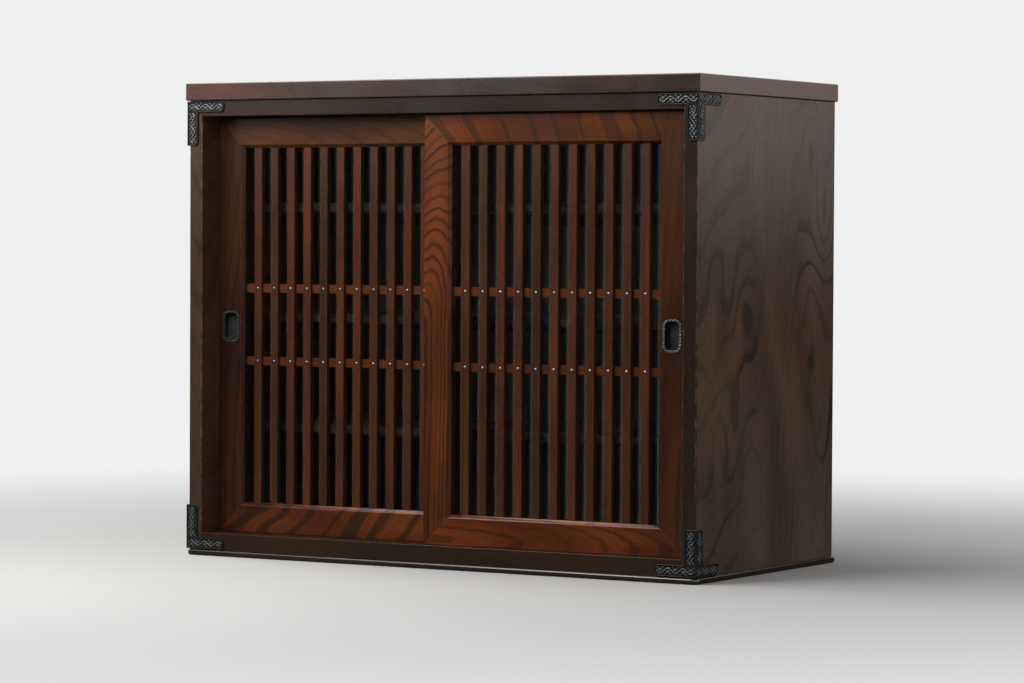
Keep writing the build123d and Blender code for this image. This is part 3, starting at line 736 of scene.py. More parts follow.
def vine_motif(tree):
    """A curl of radius 1 with a bud in it and leaves beside it."""
    curl = round_bar(tree, out(tree, "GeometryNodeCurveSpiral", CURL_SPIRAL), CURL_BAR, caps=True)
    bud = out(tree, "GeometryNodeMeshIcoSphere", {"Radius": BUD_RADIUS, "Subdivisions": 2})
    leaves = []
    for x, y, turn in LEAVES:
        sockets = {
            "Geometry": out(tree, "GeometryNodeMeshIcoSphere", {"Radius": 1.0, "Subdivisions": 2}),
            "Translation": (x, y, 0.0),
            "Rotation": (0.0, 0.0, turn),
            "Scale": LEAF_SIZE,
        }
        leaves.append(out(tree, "GeometryNodeTransform", sockets))
    return joined(tree, curl, bud, *leaves)


def vine_tree(material):
    """A wavy stem with a curl and leaves in each bend, lying along X in the XY plane."""
    tree, given, result = new_group(
        "vine_relief",
        "GeometryNodeTree",
        {"Length": 0.05, "Swing": 0.0035, "Bends": 5, "Stem": 0.0008, "Curl": 0.0034},
        {"Geometry": "NodeSocketGeometry"},
    )
    sockets = {"Start": (0.0, 0.0, 0.0), "End": combined(tree, x=given["Length"])}
    line = out(tree, "GeometryNodeCurvePrimitiveLine", sockets)
    line = out(tree, "GeometryNodeResampleCurve", {"Curve": line, "Count": 90})
    way = put(tree, "GeometryNodeSplineParameter").outputs["Factor"]
    wave = calc(tree, "SINE", product(tree, way, given["Bends"], math.pi))
    aside = combined(tree, y=product(tree, wave, given["Swing"]))
    line = out(tree, "GeometryNodeSetPosition", {"Geometry": line, "Offset": aside})
    stem = round_bar(tree, line, given["Stem"])

    step = calc(tree, "DIVIDE", given["Length"], given["Bends"])
    start = combined(tree, x=product(tree, step, 0.5))
    sockets = {"Count": given["Bends"], "Start Location": start, "Offset": combined(tree, x=step)}
    bends = out(tree, "GeometryNodeMeshLine", sockets)
    odd = calc(tree, "MODULO", out(tree, "GeometryNodeInputIndex"), 2.0)
    side = calc(tree, "MULTIPLY_ADD", odd, 2.0, -1.0)
    inwards = combined(tree, y=product(tree, side, given["Swing"], CURL_OFFSET))
    bends = out(tree, "GeometryNodeSetPosition", {"Geometry": bends, "Offset": inwards})
    turn_about = combined(tree, z=product(tree, odd, math.pi))
    sockets = {"Points": bends, "Instance": vine_motif(tree), "Rotation": turn_about}
    curls = out(tree, "GeometryNodeInstanceOnPoints", sockets)
    size = combined(tree, given["Curl"], given["Curl"], given["Curl"])
    curls = out(tree, "GeometryNodeScaleInstances", {"Instances": curls, "Scale": size})
    smooth = out(tree, "GeometryNodeSetShadeSmooth", {"Geometry": joined(tree, stem, curls)})
    finish_tree(tree, result, smooth, material)
    return tree


# ---- How each board was sawn: the grain's direction and its figure, and its tints, many of them painted light and shade ----

PLAIN = {
    "Crown": 0.05, "Ring": 0.005, "Line width": 0.4, "Line strength": 0.35,
    "Band": 0.03, "Band strength": 0.12, "Waviness": 0.006,
}
BAR_CUT = {
    "Pith": (0.2, 0.1, 0.0), "Crown": 0.02, "Drift": 0.0, "Ring": 0.0052, "Line width": 0.45,
    "Line strength": 0.35, "Band": 0.017, "Band width": 0.55, "Band strength": 0.30, "Irregular": 1.2,
    "Waviness": 0.010, "Wavelength": 0.30,
}
# What red, green and blue are multiplied by at one end of the bars' tones and at the other.
BAR_TONES = ((0.80, 1.10), (1.00, 0.97), (1.06, 0.92))

DOOR_CUTS = {
    "right_door_meeting_stile": {
        "Pith": (-0.024, 0.006, 0.010), "Crown": 0.36, "Lean": 0.17, "Drift": 0.0, "Ring": 0.0062,
        "Line width": 0.46, "Line strength": 0.80, "Fine lines": 0.15, "Band": 0.06, "Band strength": 0.10,
        "Irregular": 1.0, "Waviness": 0.016, "Wavelength": 0.10,
    },
    "right_door_top_rail": {
        "Pith": (0.22, 0.02, -0.56), "Crown": 0.70, "Ring": 0.0034, "Line width": 0.5, "Line strength": 0.50,
        "Band": 0.030, "Band width": 0.22, "Band strength": 0.60, "Irregular": 1.2,
        "Waviness": 0.045, "Wavelength": 0.09,
    },
    "right_door_bottom_rail": {
        "Pith": (0.015, 0.012, -0.12), "Crown": 0.14, "Drift": 0.03, "Ring": 0.0080, "Line width": 0.4,
        "Line strength": 0.60, "Band": 0.05, "Band strength": 0.15, "Irregular": 1.2,
        "Waviness": 0.020, "Wavelength": 0.18,
    },
    "right_door_outer_stile": {
        "Pith": (0.05, 0.10, -0.20), "Crown": 0.04, "Ring": 0.0060, "Line width": 0.4, "Line strength": 0.40,
        "Band": 0.05, "Band strength": 0.10, "Waviness": 0.014, "Wavelength": 0.25,
    },
    "left_door_meeting_stile": {
        "Pith": (0.04, 0.05, 0.0), "Crown": 0.10, "Ring": 0.0070, "Line strength": 0.50,
        "Band": 0.05, "Band strength": 0.15, "Waviness": 0.014, "Wavelength": 0.16,
    },
    "left_door_top_rail": {
        "Pith": (0.03, 0.02, -0.25), "Crown": 0.12, "Drift": 0.04, "Ring": 0.0090, "Line strength": 0.45,
        "Band": 0.05, "Band strength": 0.15, "Waviness": 0.020, "Wavelength": 0.20,
    },
    "left_door_bottom_rail": {
        "Pith": (-0.13, 0.02, -0.50), "Crown": 0.75, "Ring": 0.0048, "Line width": 0.5, "Line strength": 0.55,
        "Band": 0.038, "Band width": 0.34, "Band strength": 0.78, "Irregular": 1.2,
        "Waviness": 0.070, "Wavelength": 0.07,
    },
    "left_door_outer_stile": {
        "Pith": (0.03, 0.04, -0.05), "Crown": 0.10, "Ring": 0.0070, "Line strength": 0.50,
        "Band": 0.05, "Band strength": 0.12, "Waviness": 0.018, "Wavelength": 0.16,
    },
}
# Each member's tint. Partly the wood's own tone and partly painted light: the left door's members are
# darkened as painted shade of its set-back place, its outer stile most, in the side board's shadow. The left
# top rail is lightened against the upper track's shade, and the outer stiles and the left top rail keep more
# green and blue as painted sheen.
DOOR_TINTS_AND_PAINTED_SHADE = {
    "right_door_meeting_stile": UNTINTED,
    "right_door_top_rail": (0.96, 0.88, 0.62),
    "right_door_bottom_rail": (1.13, 0.94, 0.62),
    "right_door_outer_stile": (0.46, 0.58, 0.72),
    "left_door_meeting_stile": (0.62, 0.62, 0.62),
    "left_door_top_rail": (0.84, 1.12, 1.20),
    "left_door_bottom_rail": (1.12, 1.04, 0.84),
    "left_door_outer_stile": (0.31, 0.46, 0.66),
}
# Where a member's tint begins and where it has its full strength, measured from the member's end. At the
# rails' outer ends the tint is painted shade, darker and greyer into the shaded outer stile.
RAIL_END = (0.13, 0.025)
RAIL_END_PAINTED_SHADE = (0.56, 0.64, 0.80)
# The right meeting stile is painted darker towards its foot, as painted shade of the light's falloff.
STILE_FOOT = (0.20, 0.05)
STILE_FOOT_PAINTED_SHADE = (0.62, 0.62, 0.66)
# The top rail's tongue above the shoulder is painted several times lighter, as painted light, so that the
# shaded slot under the upper track doesn't show black.
TONGUE_PAINTED_LIGHT = (3.4, 6.0, 9.0)

SIDE_CUT = {
    "Pith": (50.0, 0.0, 0.0), "Crown": 0.0, "Drift": 0.0, "Seed": 3.0, "Ring": 0.045, "Line width": 0.24,
    "Line strength": 0.86, "Fine lines": 0.14, "Swelling": 0.33, "Band": 0.90, "Band width": 0.1,
    "Band strength": 0.05, "Irregular": 0.4, "Waviness": 0.050, "Wavelength": 0.10,
}
# Four values say from where to where something changes, and from what to what.
SIDE_FADE = (0.18, 0.60, 0.80, 0.10)
# The heights where the foot's tint begins and where it has its full strength. The tint is painted shade: the
# side boards are darker towards the floor.
SIDE_FOOT = (0.42, 0.06)
SIDE_FOOT_PAINTED_SHADE = (0.86, 0.96, 0.98)
SWIRL_LEAN = 0.10
SWIRL_STRAIGHT = (-0.010, 0.160, 0.0, 6.0)
SWIRL_BORDER = 0.03
SWIRL_FRONT = (-0.300, 0.0, 0.0, 1.9)
SWIRL_CLIMB = 11.4
# The hills and hollows of a side board: place along Y and Z and reach along Y and Z in mm, and rings added.
SWIRLS = (
    (-166, 455, 30, 48, 0.85), (-120, 405, 30, 50, -0.75), (-170, 318, 17, 46, -0.75),
    (-152, 215, 26, 46, 1.00), (-66, 395, 30, 40, 0.90), (-98, 225, 24, 50, -1.00),
    (-50, 160, 32, 56, 0.90), (-112, 150, 36, 40, -0.50), (-62, 628, 24, 30, 0.60),
    (145, 640, 26, 56, 1.30), (190, 530, 26, 70, -1.60), (142, 425, 34, 40, 0.80),
    (150, 350, 34, 56, 1.00), (180, 190, 28, 64, -1.60), (142, 120, 34, 56, 1.20),
    (182, 66, 26, 50, -1.30), (196, 655, 30, 44, -0.90),
)
TOP_CUT = {
    "Pith": (0.05, 0.03, -0.20), "Crown": 0.02, "Drift": 0.01, "Ring": 0.007, "Line width": 0.5,
    "Line strength": 0.55, "Band": 0.03, "Band strength": 0.25, "Waviness": 0.014, "Wavelength": 0.40,
}
# The top board's face: paler and greyer to the left as painted sheen, darker to the right as painted shade.
TOP_LEFT_PAINTED_SHEEN = (1.85, 1.50, 1.40)
TOP_RIGHT_PAINTED_SHADE = (0.70, 0.52, 0.36)
TRACK_TINTS = {"upper_track": UNTINTED, "lower_track": (1.75, 1.50, 1.15)}
# The upper track is painted paler and bluer towards its left end, as painted sheen.
TRACK_LEFT_PAINTED_SHEEN = (1.70, 1.90, 2.40)
FRONT_BLACK = {"left": 0.64, "right": 0.95}
CASE_INSIDE = {"floor_board": "X", "floor_bearers": "Y", "back_panel": "Z", "back_rail": "X"}
SHELVING = {"lower_shelf": "X", "middle_shelf": "X", "upper_shelf": "X", "shelf_cleats": "X"}


# ---- Operators, one for each group of pieces ----


class CabinetOperator:
    """What the cabinet's operators share."""

    bl_options = {"REGISTER", "UNDO"}

    @property
    def sizes(self):
        return bpy.context.scene.cabinet_sizes

    @property
    def finish(self):
        return bpy.context.scene.cabinet_finish

    @property
    def black(self):
        """The tones of the near-black lacquer."""
        return self.finish.black_light, self.finish.black_deep, self.finish.black_deep


class CABINET_OT_effects(CabinetOperator, bpy.types.Operator):
    """Build the shader effects that the materials share."""

    bl_idname = "cabinet.effects"
    bl_label = "Shared finishes"

    def execute(self, context):
        GROUPS["wood_figure"] = wood_figure_group()
        GROUPS["worn_edge"] = worn_edge_group()
        GROUPS["lacquer_haze"] = lacquer_haze_group()
        GROUPS["cast_skin"] = cast_skin_group()
        return {"FINISHED"}


class CABINET_OT_boards(CabinetOperator, bpy.types.Operator):
    """Finish the top board, the base board and the two side boards."""

    bl_idname = "cabinet.boards"
    bl_label = "Case boards"

    def execute(self, context):
        look = self.finish
        tones = (look.top_light, look.top_deep, look.black_deep)
        top = lacquered_wood("top_board_lacquer", "top_board", "X", tones, TOP_CUT, TOP_LACQUER, wear=0.2)
        self.redden_ends_and_paint_sheen(top, "top_board")
        soft_board("top_board", "case", top, 0.5 * self.sizes.board_edge)
        base = lacquered_wood("base_board_lacquer", "base_board", "X", self.black, PLAIN, NOSE_LACQUER)
        dress("base_board", base)
        tones = (look.case_light, look.case_deep, look.case_line)
        for side in ("left", "right"):
            node = f"{side}_side_board"
            wood = lacquered_wood(f"{node}_lacquer", node, "Z", tones, SIDE_CUT, CASE_LACQUER, wear=0.3)
            self.swirl(wood)
            # Painted shade towards the foot.
            tint_as_painted_light(wood, "Z", *SIDE_FOOT, SIDE_FOOT_PAINTED_SHADE)
            self.blacken_front(wood, node, FRONT_BLACK[side])
            soft_board(node, "case", wood, self.sizes.board_edge)
        return {"FINISHED"}

    def redden_ends_and_paint_sheen(self, material, node):
        """The top board's ends took the stain redder than its face. The face is painted paler on the left, as
        painted sheen of reflected window light, and darker on the right, as painted shade.
        """
        tree = material.node_tree
        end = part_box(node)[1].x
        # Painted sheen to the left and painted shade to the right.
        tint_as_painted_light(material, "X", -0.45 * end, -end, TOP_LEFT_PAINTED_SHEEN)
        tint_as_painted_light(material, "X", 0.2 * end, end, TOP_RIGHT_PAINTED_SHADE)
        target, wood = wood_link(material)
        x = calc(tree, "ABSOLUTE", separated(tree, object_place(tree))[0])
        at_end = span(tree, x, end - 0.6 * MM, end - 0.1 * MM, 0.0, 0.75)
        tree.links.new(mixed(tree, at_end, wood, rgba(self.finish.top_end)), target)

    def swirl(self, material):
        """Straight grain up the middle of a side board, with hills and hollows in front of it and behind."""
        tree = material.node_tree
        figure = placed_effect(tree, "wood_figure")
        place = object_place(tree)
        _, depth, height = separated(tree, place)
        leaning = calc(tree, "MULTIPLY_ADD", height, SWIRL_LEAN, depth)
        across = calc(tree, "ADD", span(tree, leaning, *SWIRL_STRAIGHT), span(tree, depth, *SWIRL_FRONT))
        total = calc(tree, "MULTIPLY_ADD", height, -SWIRL_CLIMB, across)
        for y, z, reach_y, reach_z, rings in SWIRLS:
            away = vector_calc(tree, "SUBTRACT", place, (0.0, y * MM, z * MM))
            away = vector_calc(tree, "MULTIPLY", away, (0.0, 1.0 / (reach_y * MM), 1.0 / (reach_z * MM)))
            square = vector_calc(tree, "DOT_PRODUCT", away, away, output=1)
            hill = calc(tree, "EXPONENT", product(tree, square, -1.0))
            total = calc(tree, "MULTIPLY_ADD", hill, rings, total)
        tree.links.new(total, figure.inputs["Swirl"])
        first, last = SWIRL_STRAIGHT[:2]
        begun = span(tree, leaning, first, first + SWIRL_BORDER)
        going_on = span(tree, leaning, last - SWIRL_BORDER, last, 1.0, 0.0)
        tree.links.new(product(tree, begun, going_on), figure.inputs["Fineness"])
        tree.links.new(span(tree, height, *SIDE_FADE), figure.inputs["Fade"])

    def blacken_front(self, material, node, strength):
        """The front edge is near black and the inner face is the doors' dark red brown."""
        tree = material.node_tree
        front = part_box(node)[0].y + 2.0 * MM
        inner = min(abs(corner.x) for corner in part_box(node)) + 0.5 * MM
        target, wood = wood_link(material)
        x, y, _ = separated(tree, object_place(tree))
        inside = span(tree, calc(tree, "ABSOLUTE", x), inner, inner + 0.3 * MM, 1.0, 0.0)
        at_front = product(tree, span(tree, y, front - 0.5 * MM, front, 1.0, 0.0), strength)
        inner_face = mixed(tree, product(tree, inside, 0.5), wood, rgba(self.finish.bar_light))
        both = mixed(tree, at_front, inner_face, rgba(self.finish.black_light))
        tree.links.new(both, target)


class CABINET_OT_tracks(CabinetOperator, bpy.types.Operator):
    """Finish the grooved upper and lower tracks."""

    bl_idname = "cabinet.tracks"
    bl_label = "Tracks"

    def execute(self, context):
        for node, tint in TRACK_TINTS.items():
            wood = lacquered_wood(f"{node}_lacquer", node, "X", self.black, PLAIN, TRACK_LACQUER, tint=tint)
            if node == "upper_track":
                low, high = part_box(node)
                # Painted sheen, paler and bluer towards the left.
                tint_as_painted_light(wood, "X", 0.25 * high.x, low.x, TRACK_LEFT_PAINTED_SHEEN)
            soft_board(node, "case", wood, 0.5 * self.sizes.board_edge, shortest=0.1)
        return {"FINISHED"}


class CABINET_OT_interior(CabinetOperator, bpy.types.Operator):
    """Stain the floor, back, shelves and the strips that carry them."""

    bl_idname = "cabinet.interior"
    bl_label = "Interior"

    def execute(self, context):
        look = self.finish
        # The inside's tones are painted paler, as painted light.
        dull = (look.inside_light_painted_paler, look.inside_deep_painted_paler, look.black_deep)
        warm = (look.shelf_light, look.shelf_deep, look.black_deep)
        for tones, boards in ((dull, CASE_INSIDE), (warm, SHELVING)):
            for node, grain in boards.items():
                dress(node, lacquered_wood(f"{node}_stain", node, grain, tones, PLAIN, PLAIN_STAIN))
        return {"FINISHED"}


class CABINET_OT_door_frames(CabinetOperator, bpy.types.Operator):
    """Finish the mitred stiles and rails of both doors."""

    bl_idname = "cabinet.door_frames"
    bl_label = "Door frames"

    def execute(self, context):
        for door in DOORS:
            for member in FRAME_MEMBERS:
                wood = self.member_wood(door, member)
                soft_board(f"{door}_{member}", door, wood, self.sizes.frame_edge)
        return {"FINISHED"}

    def member_wood(self, door, member):
        """A member's lacquered wood, with painted shade at the rails' outer ends and at the right meeting
        stile's foot, and painted light on a top rail's tongue.
        """
        look = self.finish
        tones = (look.door_light, look.door_deep, look.door_line)
        node = f"{door}_{member}"
        grain = "Z" if member.endswith("stile") else "X"
        cut = DOOR_CUTS[node]
        tint = DOOR_TINTS_AND_PAINTED_SHADE[node]
        wood = lacquered_wood(f"{node}_lacquer", node, grain, tones, cut, DOOR_LACQUER, wear=0.2, tint=tint)
        low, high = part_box(node)
        # Painted shade, darker towards the outer stile.
        if member.endswith("rail"):
            outer, way = (low.x, 1.0) if door == "left_door" else (high.x, -1.0)
            begin, full = (outer + reach * way for reach in RAIL_END)
            tint_as_painted_light(wood, "X", begin, full, RAIL_END_PAINTED_SHADE)
        # Painted light on the tongue, which sits in the shade under the upper track.
        if member == "top_rail":
            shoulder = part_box(f"{door}_outer_stile")[1].z
            tint_as_painted_light(wood, "Z", shoulder, shoulder + 0.5 * MM, TONGUE_PAINTED_LIGHT)
        # Painted shade towards the meeting stile's foot.
        if node == "right_door_meeting_stile":
            begin, full = (low.z + reach for reach in STILE_FOOT)
            tint_as_painted_light(wood, "Z", begin, full, STILE_FOOT_PAINTED_SHADE)
        return wood


class CABINET_OT_lattice(CabinetOperator, bpy.types.Operator):
    """Finish the bars, crosspieces and glass beads, each bar with a tone of its own."""

    bl_idname = "cabinet.lattice"
    bl_label = "Lattice"

    def execute(self, context):
        look = self.finish
        tones = (look.bar_light, look.bar_deep, look.door_line)
        for door in DOORS:
            first = f"{door}_bar_01"
            bars = lacquered_wood(f"{door}_bar_lacquer", first, "Z", tones, BAR_CUT, BAR_LACQUER, wear=0.3)
            self.vary_bars(bars, door)
            for number in range(1, BAR_COUNT + 1):
                node = f"{door}_bar_{number:02d}"
                soft_board(node, door, bars, self.sizes.bar_edge, shortest=0.1)
            strip = f"{door}_lower_crosspiece"
            cross = lacquered_wood(f"{door}_crosspiece_lacquer", strip, "X", tones, PLAIN, BAR_LACQUER)
            for part in ("lower_crosspiece", "upper_crosspiece", "glass_beads"):
                dress(f"{door}_{part}", cross)
        return {"FINISHED"}

    def vary_bars(self, material, door):
        """Shift the tone from bar to bar."""
        tree = material.node_tree
        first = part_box(f"{door}_bar_01")[0].x
        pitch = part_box(f"{door}_bar_02")[0].x - first
        target, wood = wood_link(material)
        from_first = calc(tree, "SUBTRACT", separated(tree, object_place(tree))[0], first - pitch / 4)
        chance = chance_of(tree, calc(tree, "FLOOR", calc(tree, "DIVIDE", from_first, pitch)))
        tint = shade(tree, *(span(tree, chance, 0.0, 1.0, *tones) for tones in BAR_TONES))
        tree.links.new(mixed(tree, 1.0, wood, tint, "MULTIPLY"), target)


class CABINET_OT_studs(CabinetOperator, bpy.types.Operator):
    """Set a domed stud on every crossing of the lattice."""

    bl_idname = "cabinet.studs"
    bl_label = "Studs"

    def execute(self, context):
        grow = stud_tree(self.metal())
        for door in DOORS:
            low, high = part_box(f"{door}_studs")
            radius = self.sizes.stud_radius
            values = {
                "Count": BAR_COUNT,
                "Pitch": (high.x - low.x - 2 * radius) / (BAR_COUNT - 1),
                "First": (low.x + radius, high.y, low.z + radius),
                "Rise": high.z - low.z - 2 * radius,
                "Radius": radius,
                "Crown": self.sizes.stud_crown,
            }
            mesh = grown_mesh(grow, f"{door}_stud_domes", values)
            piece = add_piece(f"{door}_stud_domes", mesh, door)
            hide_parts(f"{door}_studs")
        return {"FINISHED"}

    def metal(self):
        """Bright metal with dull, tarnished patches."""
        material, tree, shader = new_material("stud_metal")
        tarnish = noise(tree, object_place(tree), (700.0, 700.0, 700.0), detail=4.0)
        bright = rgba(self.finish.stud)
        dull = rgba([channel * 0.35 for channel in self.finish.stud])
        tree.links.new(mixed(tree, span(tree, tarnish, 0.4, 0.7), bright, dull), shader.inputs["Base Color"])
        tree.links.new(span(tree, tarnish, 0.3, 0.7, 0.16, 0.32), shader.inputs["Roughness"])
        shader.inputs["Metallic"].default_value = 1.0
        return material


class CABINET_OT_glass(CabinetOperator, bpy.types.Operator):
    """Glaze both doors."""

    bl_idname = "cabinet.glass"
    bl_label = "Glass"

    clear = [0.86, 0.96, 0.90, 1.0]
    dusty = [0.80, 0.89, 0.83, 1.0]

    def execute(self, context):
        material, tree, shader = new_material("clear_glass")
        dust = noise(tree, object_place(tree), (30.0, 30.0, 30.0), detail=6.0, roughness=0.7)
        tree.links.new(span(tree, dust, 0.35, 0.75, 0.0, 0.012), shader.inputs["Roughness"])
        tint = mixed(tree, span(tree, dust, 0.3, 0.8), self.clear, self.dusty)
        tree.links.new(tint, shader.inputs["Base Color"])
        shader.inputs["Transmission Weight"].default_value = 1.0
        shader.inputs["IOR"].default_value = 1.45
        for door in DOORS:
            dress(f"{door}_glass", material)
        return {"FINISHED"}


def iron_material(name, look):
    """Blackened cast iron with a paint film."""
    material, tree, shader = new_material(name)
    sockets = {"Vector": object_place(tree), "Base": rgba(look.iron), "Rubbed": rgba(look.rubbed_iron)}
    skin = effect(tree, "cast_skin", sockets)
    bump = out(tree, "ShaderNodeBump", {"Height": skin["Height"], "Distance": 0.00005, "Strength": 0.7})
    tree.links.new(skin["Color"], shader.inputs["Base Color"])
    tree.links.new(skin["Bare"], shader.inputs["Metallic"])
    tree.links.new(skin["Roughness"], shader.inputs["Roughness"])
    tree.links.new(bump, shader.inputs["Normal"])
    shader.inputs["Specular IOR Level"].default_value = 0.25
    return material


# How far up a relief, as a share of its height, it begins to be rubbed bare, and how far flat iron is rubbed.
# The left door's rope is rubbed far less than the right's, so that it stays darker: partly wear and partly
# painted shade of the case's side, in which the left pull lies.
ROPE_WEAR_AND_SHADE_FOOT = {"left_door": 0.88, "right_door": 0.30}
VINE_WEAR_FOOT = 0.45
CUP_WEAR = 0.10
PLATE_WEAR = 0.05
# How far the rim of a pull's cup stands back, to make room for the rope.
ROPE_SEAT = 1.1 * MM


class CABINET_OT_pulls(CabinetOperator, bpy.types.Operator):
    """Cast the cupped pulls and lay a rope round each rim."""

    bl_idname = "cabinet.pulls"
    bl_label = "Door pulls"

    def execute(self, context):
        material = iron_material("pull_iron", self.finish)
        grow = rope_tree(material)
        for door in DOORS:
            node = f"{door}_pull"
            low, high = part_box(node)
            surface = joined_faces(node)
            for vertex in surface.verts:
                vertex.co.y = max(vertex.co.y, low.y + ROPE_SEAT)
            mesh = to_mesh(surface, node)
            mark_proud(mesh, [CUP_WEAR] * len(mesh.vertices))
            piece = add_piece(f"{node}_cup", mesh, door, material)
            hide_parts(node)
            inset = (1.0 + ROPE_SPREAD) * self.sizes.rope_strand
            values = {
                "Width": high.x - low.x - 2 * inset,
                "Height": high.z - low.z - 2 * inset,
                "Corner": self.sizes.rope_corner,
                "Strand": self.sizes.rope_strand,
                "Lumps": self.sizes.rope_lumps,
            }
            rope = grown_mesh(grow, f"{node}_rope", values)
            mark_crests(rope, ROPE_WEAR_AND_SHADE_FOOT[door])
            centre = Vector(((low.x + high.x) / 2, low.y + inset, (low.z + high.z) / 2))
            rope.transform(Matrix.Translation(centre) @ Matrix.Rotation(math.radians(90.0), 4, "X"))
            add_piece(f"{node}_rope_rim", rope, door)
        return {"FINISHED"}


IRON_THICKNESS = 3.0 * MM
IRON_WIDTH = 17.0 * MM
VINE_MARGIN = 3.0 * MM
VINE_FLATNESS = 0.95
# The faces of a plate that carry a relief are larger than this, in square metres.
BROAD_AREA = 1e-4


class CABINET_OT_corner_irons(CabinetOperator, bpy.types.Operator):
    """Cast the four corner irons with their vine relief."""

    bl_idname = "cabinet.corner_irons"
    bl_label = "Corner irons"

    def execute(self, context):
        material = iron_material("corner_iron", self.finish)
        grow = vine_tree(material)
        for corner in CORNERS:
            node = f"{corner}_corner_iron"
            low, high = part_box(node)
            side = -1.0 if corner.endswith("left") else 1.0
            level = 1.0 if corner.startswith("top") else -1.0
            tip = Vector((low.x if side < 0 else high.x, low.y, high.z if level > 0 else low.z))
            piece = add_piece(f"{node}_plate", self.plate(node, tip, side), "case", material)
            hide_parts(node)
            vines = self.vines(node, grow, tip, side, level)
            add_piece(f"{node}_vine", vines, "case", material)
        return {"FINISHED"}

    def plate(self, node, tip, side):
        """The plate that wraps the corner, with a sunk field inside a border on its two outer faces."""
        surface = soften(joined_faces(node), self.sizes.iron_edge, 0.0, segments=3, steep=40.0)
        outer = []
        for face in surface.faces:
            middle = face.calc_center_median()
            outwards = face.normal.y < -0.9 or face.normal.x * side > 0.9
            on_top = middle.y < tip.y + 0.1 * MM or abs(middle.x - tip.x) < 0.1 * MM
            if face.calc_area() > BROAD_AREA and outwards and on_top:
                outer.append(face)
        bmesh.ops.inset_individual(surface, faces=outer, thickness=self.sizes.iron_border, depth=0.0)
        bmesh.ops.inset_individual(surface, faces=outer, thickness=0.4 * MM, depth=-self.sizes.relief)
        mesh = to_mesh(surface, node, smooth_angle=50.0)
        mark_proud(mesh, [PLATE_WEAR] * len(mesh.vertices))
        return mesh

    def vines(self, node, grow, tip, side, level):
        """A vine along the arm and the post of the front and the flank, as one mesh."""
        low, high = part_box(node)
        sizes = self.sizes
        lift = sizes.relief - 0.15 * MM
        half = 0.5 * IRON_WIDTH
        away = Vector((0.0, 0.0, -level))
        post_length = high.z - low.z - IRON_WIDTH - 1.7 * VINE_MARGIN
        relief = bmesh.new()
        for face, outwards, inwards, reach in (
            ("front", Vector((0.0, -1.0, 0.0)), Vector((-side, 0.0, 0.0)), high.x - low.x),
            ("flank", Vector((side, 0.0, 0.0)), Vector((0.0, 1.0, 0.0)), high.y - low.y),
        ):
            for part, along, over, down, length in (
                ("arm", inwards, VINE_MARGIN, half, reach - 2 * VINE_MARGIN),
                ("post", away, half + IRON_THICKNESS / 2, IRON_WIDTH + VINE_MARGIN / 2, post_length),
            ):
                values = {
                    "Length": length,
                    "Swing": sizes.swing,
                    "Bends": max(3, round(length / sizes.bend)),
                    "Stem": sizes.stem,
                    "Curl": sizes.curl,
                }
                vine = grown_mesh(grow, f"{node}_{face}_{part}", values)
                mark_crests(vine, VINE_WEAR_FOOT)
                start = tip - outwards * lift + inwards * over + away * down
                turn = Matrix((along, outwards.cross(along), outwards)).transposed().to_4x4()
                flat = Matrix.Diagonal((1.0, 1.0, VINE_FLATNESS, 1.0))
                vine.transform(Matrix.Translation(start) @ turn @ flat)
                relief.from_mesh(vine)
        mesh = bpy.data.meshes.new(f"{node}_vine")
        relief.to_mesh(mesh)
        relief.free()
        mesh.shade_smooth()
        return mesh


# ---- Stage ----

CAMERA_PLACE = (2.9624, -4.8793, 0.5028)
CAMERA_YAW = 31.202
CAMERA_PITCH = -1.661
CAMERA_ROLL = 0.285
FOCAL_PIXELS = 3683.0
IMAGE_WIDTH = 1024
SENSOR_WIDTH = 36.0

BACKDROP = [0.87, 0.87, 0.87, 1.0]
SCREEN_TINT = [1.0, 0.96, 0.90, 1.0]
FLOOR_HALF = 40.0
FLOOR_FADE = (0.35, 2.4)
EVEN = (0.0, 1.0, 1.0)
# A screen's two ends on the floor, its foot and top, its tones below and above, and its dimming: from where
# to where along it it grows dim, and what is left of its tone there.
# The screens paint reflections: the dark sheets stand for a dark room, and high_glow and left_glow are
# glowing sheets that paint highlights without being lamps.
SCREENS = {
    "front_screen": ((-1.60, -0.52), (-0.44, -1.21), (0.0, 0.90), (0.05, 1.10), (0.50, 0.85, 0.16)),
    "corner_screen": ((-0.44, -1.21), (0.70, -1.91), (0.0, 1.10), (0.05, 0.09), (0.0, 1.0, 0.6)),
    "side_screen": ((0.20, 1.32), (1.74, 0.39), (0.0, 0.80), (0.03, 0.80), (0.53, 0.37, 0.72)),
    "high_glow": ((-1.90, 0.40), (-0.30, -1.60), (1.25, 2.60), (0.0, 5.0), EVEN),
    "left_glow": ((-2.00, 0.70), (-1.85, -0.38), (0.0, 1.60), (1.1, 2.2), EVEN),
}
# A lamp's place, the point it's aimed at, its size, its power and its colour.
LAMPS = {
    "window": ((-0.50, -1.25, 1.25), (0.0, -0.1, 0.45), (1.1, 0.9), 18.0, (1.0, 0.985, 0.96)),
    "ceiling": ((-1.70, -0.3, 2.6), (-0.1, -0.1, 0.0), (1.3, 0.5), 36.0, (1.0, 0.985, 0.97)),
    "side_fill": ((3.3, 0.3, 1.2), (0.45, 0.0, 0.4), (1.4, 1.4), 17.5, (1.0, 0.98, 0.95)),
}


def showing_rays(tree):
    """The light path, and 1 for rays that show a surface directly or through glass."""
    rays = put(tree, "ShaderNodeLightPath").outputs
    clear = calc(tree, "LESS_THAN", rays["Diffuse Depth"], 0.5)
    through = product(tree, rays["Is Transmission Ray"], clear)
    return rays, calc(tree, "MAXIMUM", rays["Is Camera Ray"], through)


def add_sheet(name, corners, material):
    """A four-cornered sheet of the studio, which isn't part of the cabinet."""
    mesh = bpy.data.meshes.new(name)
    mesh.from_pydata(corners, [], [(0, 1, 2, 3)])
    mesh.materials.append(material)
    piece = bpy.data.objects.new(name, mesh)
    bpy.context.scene.collection.objects.link(piece)
    return piece


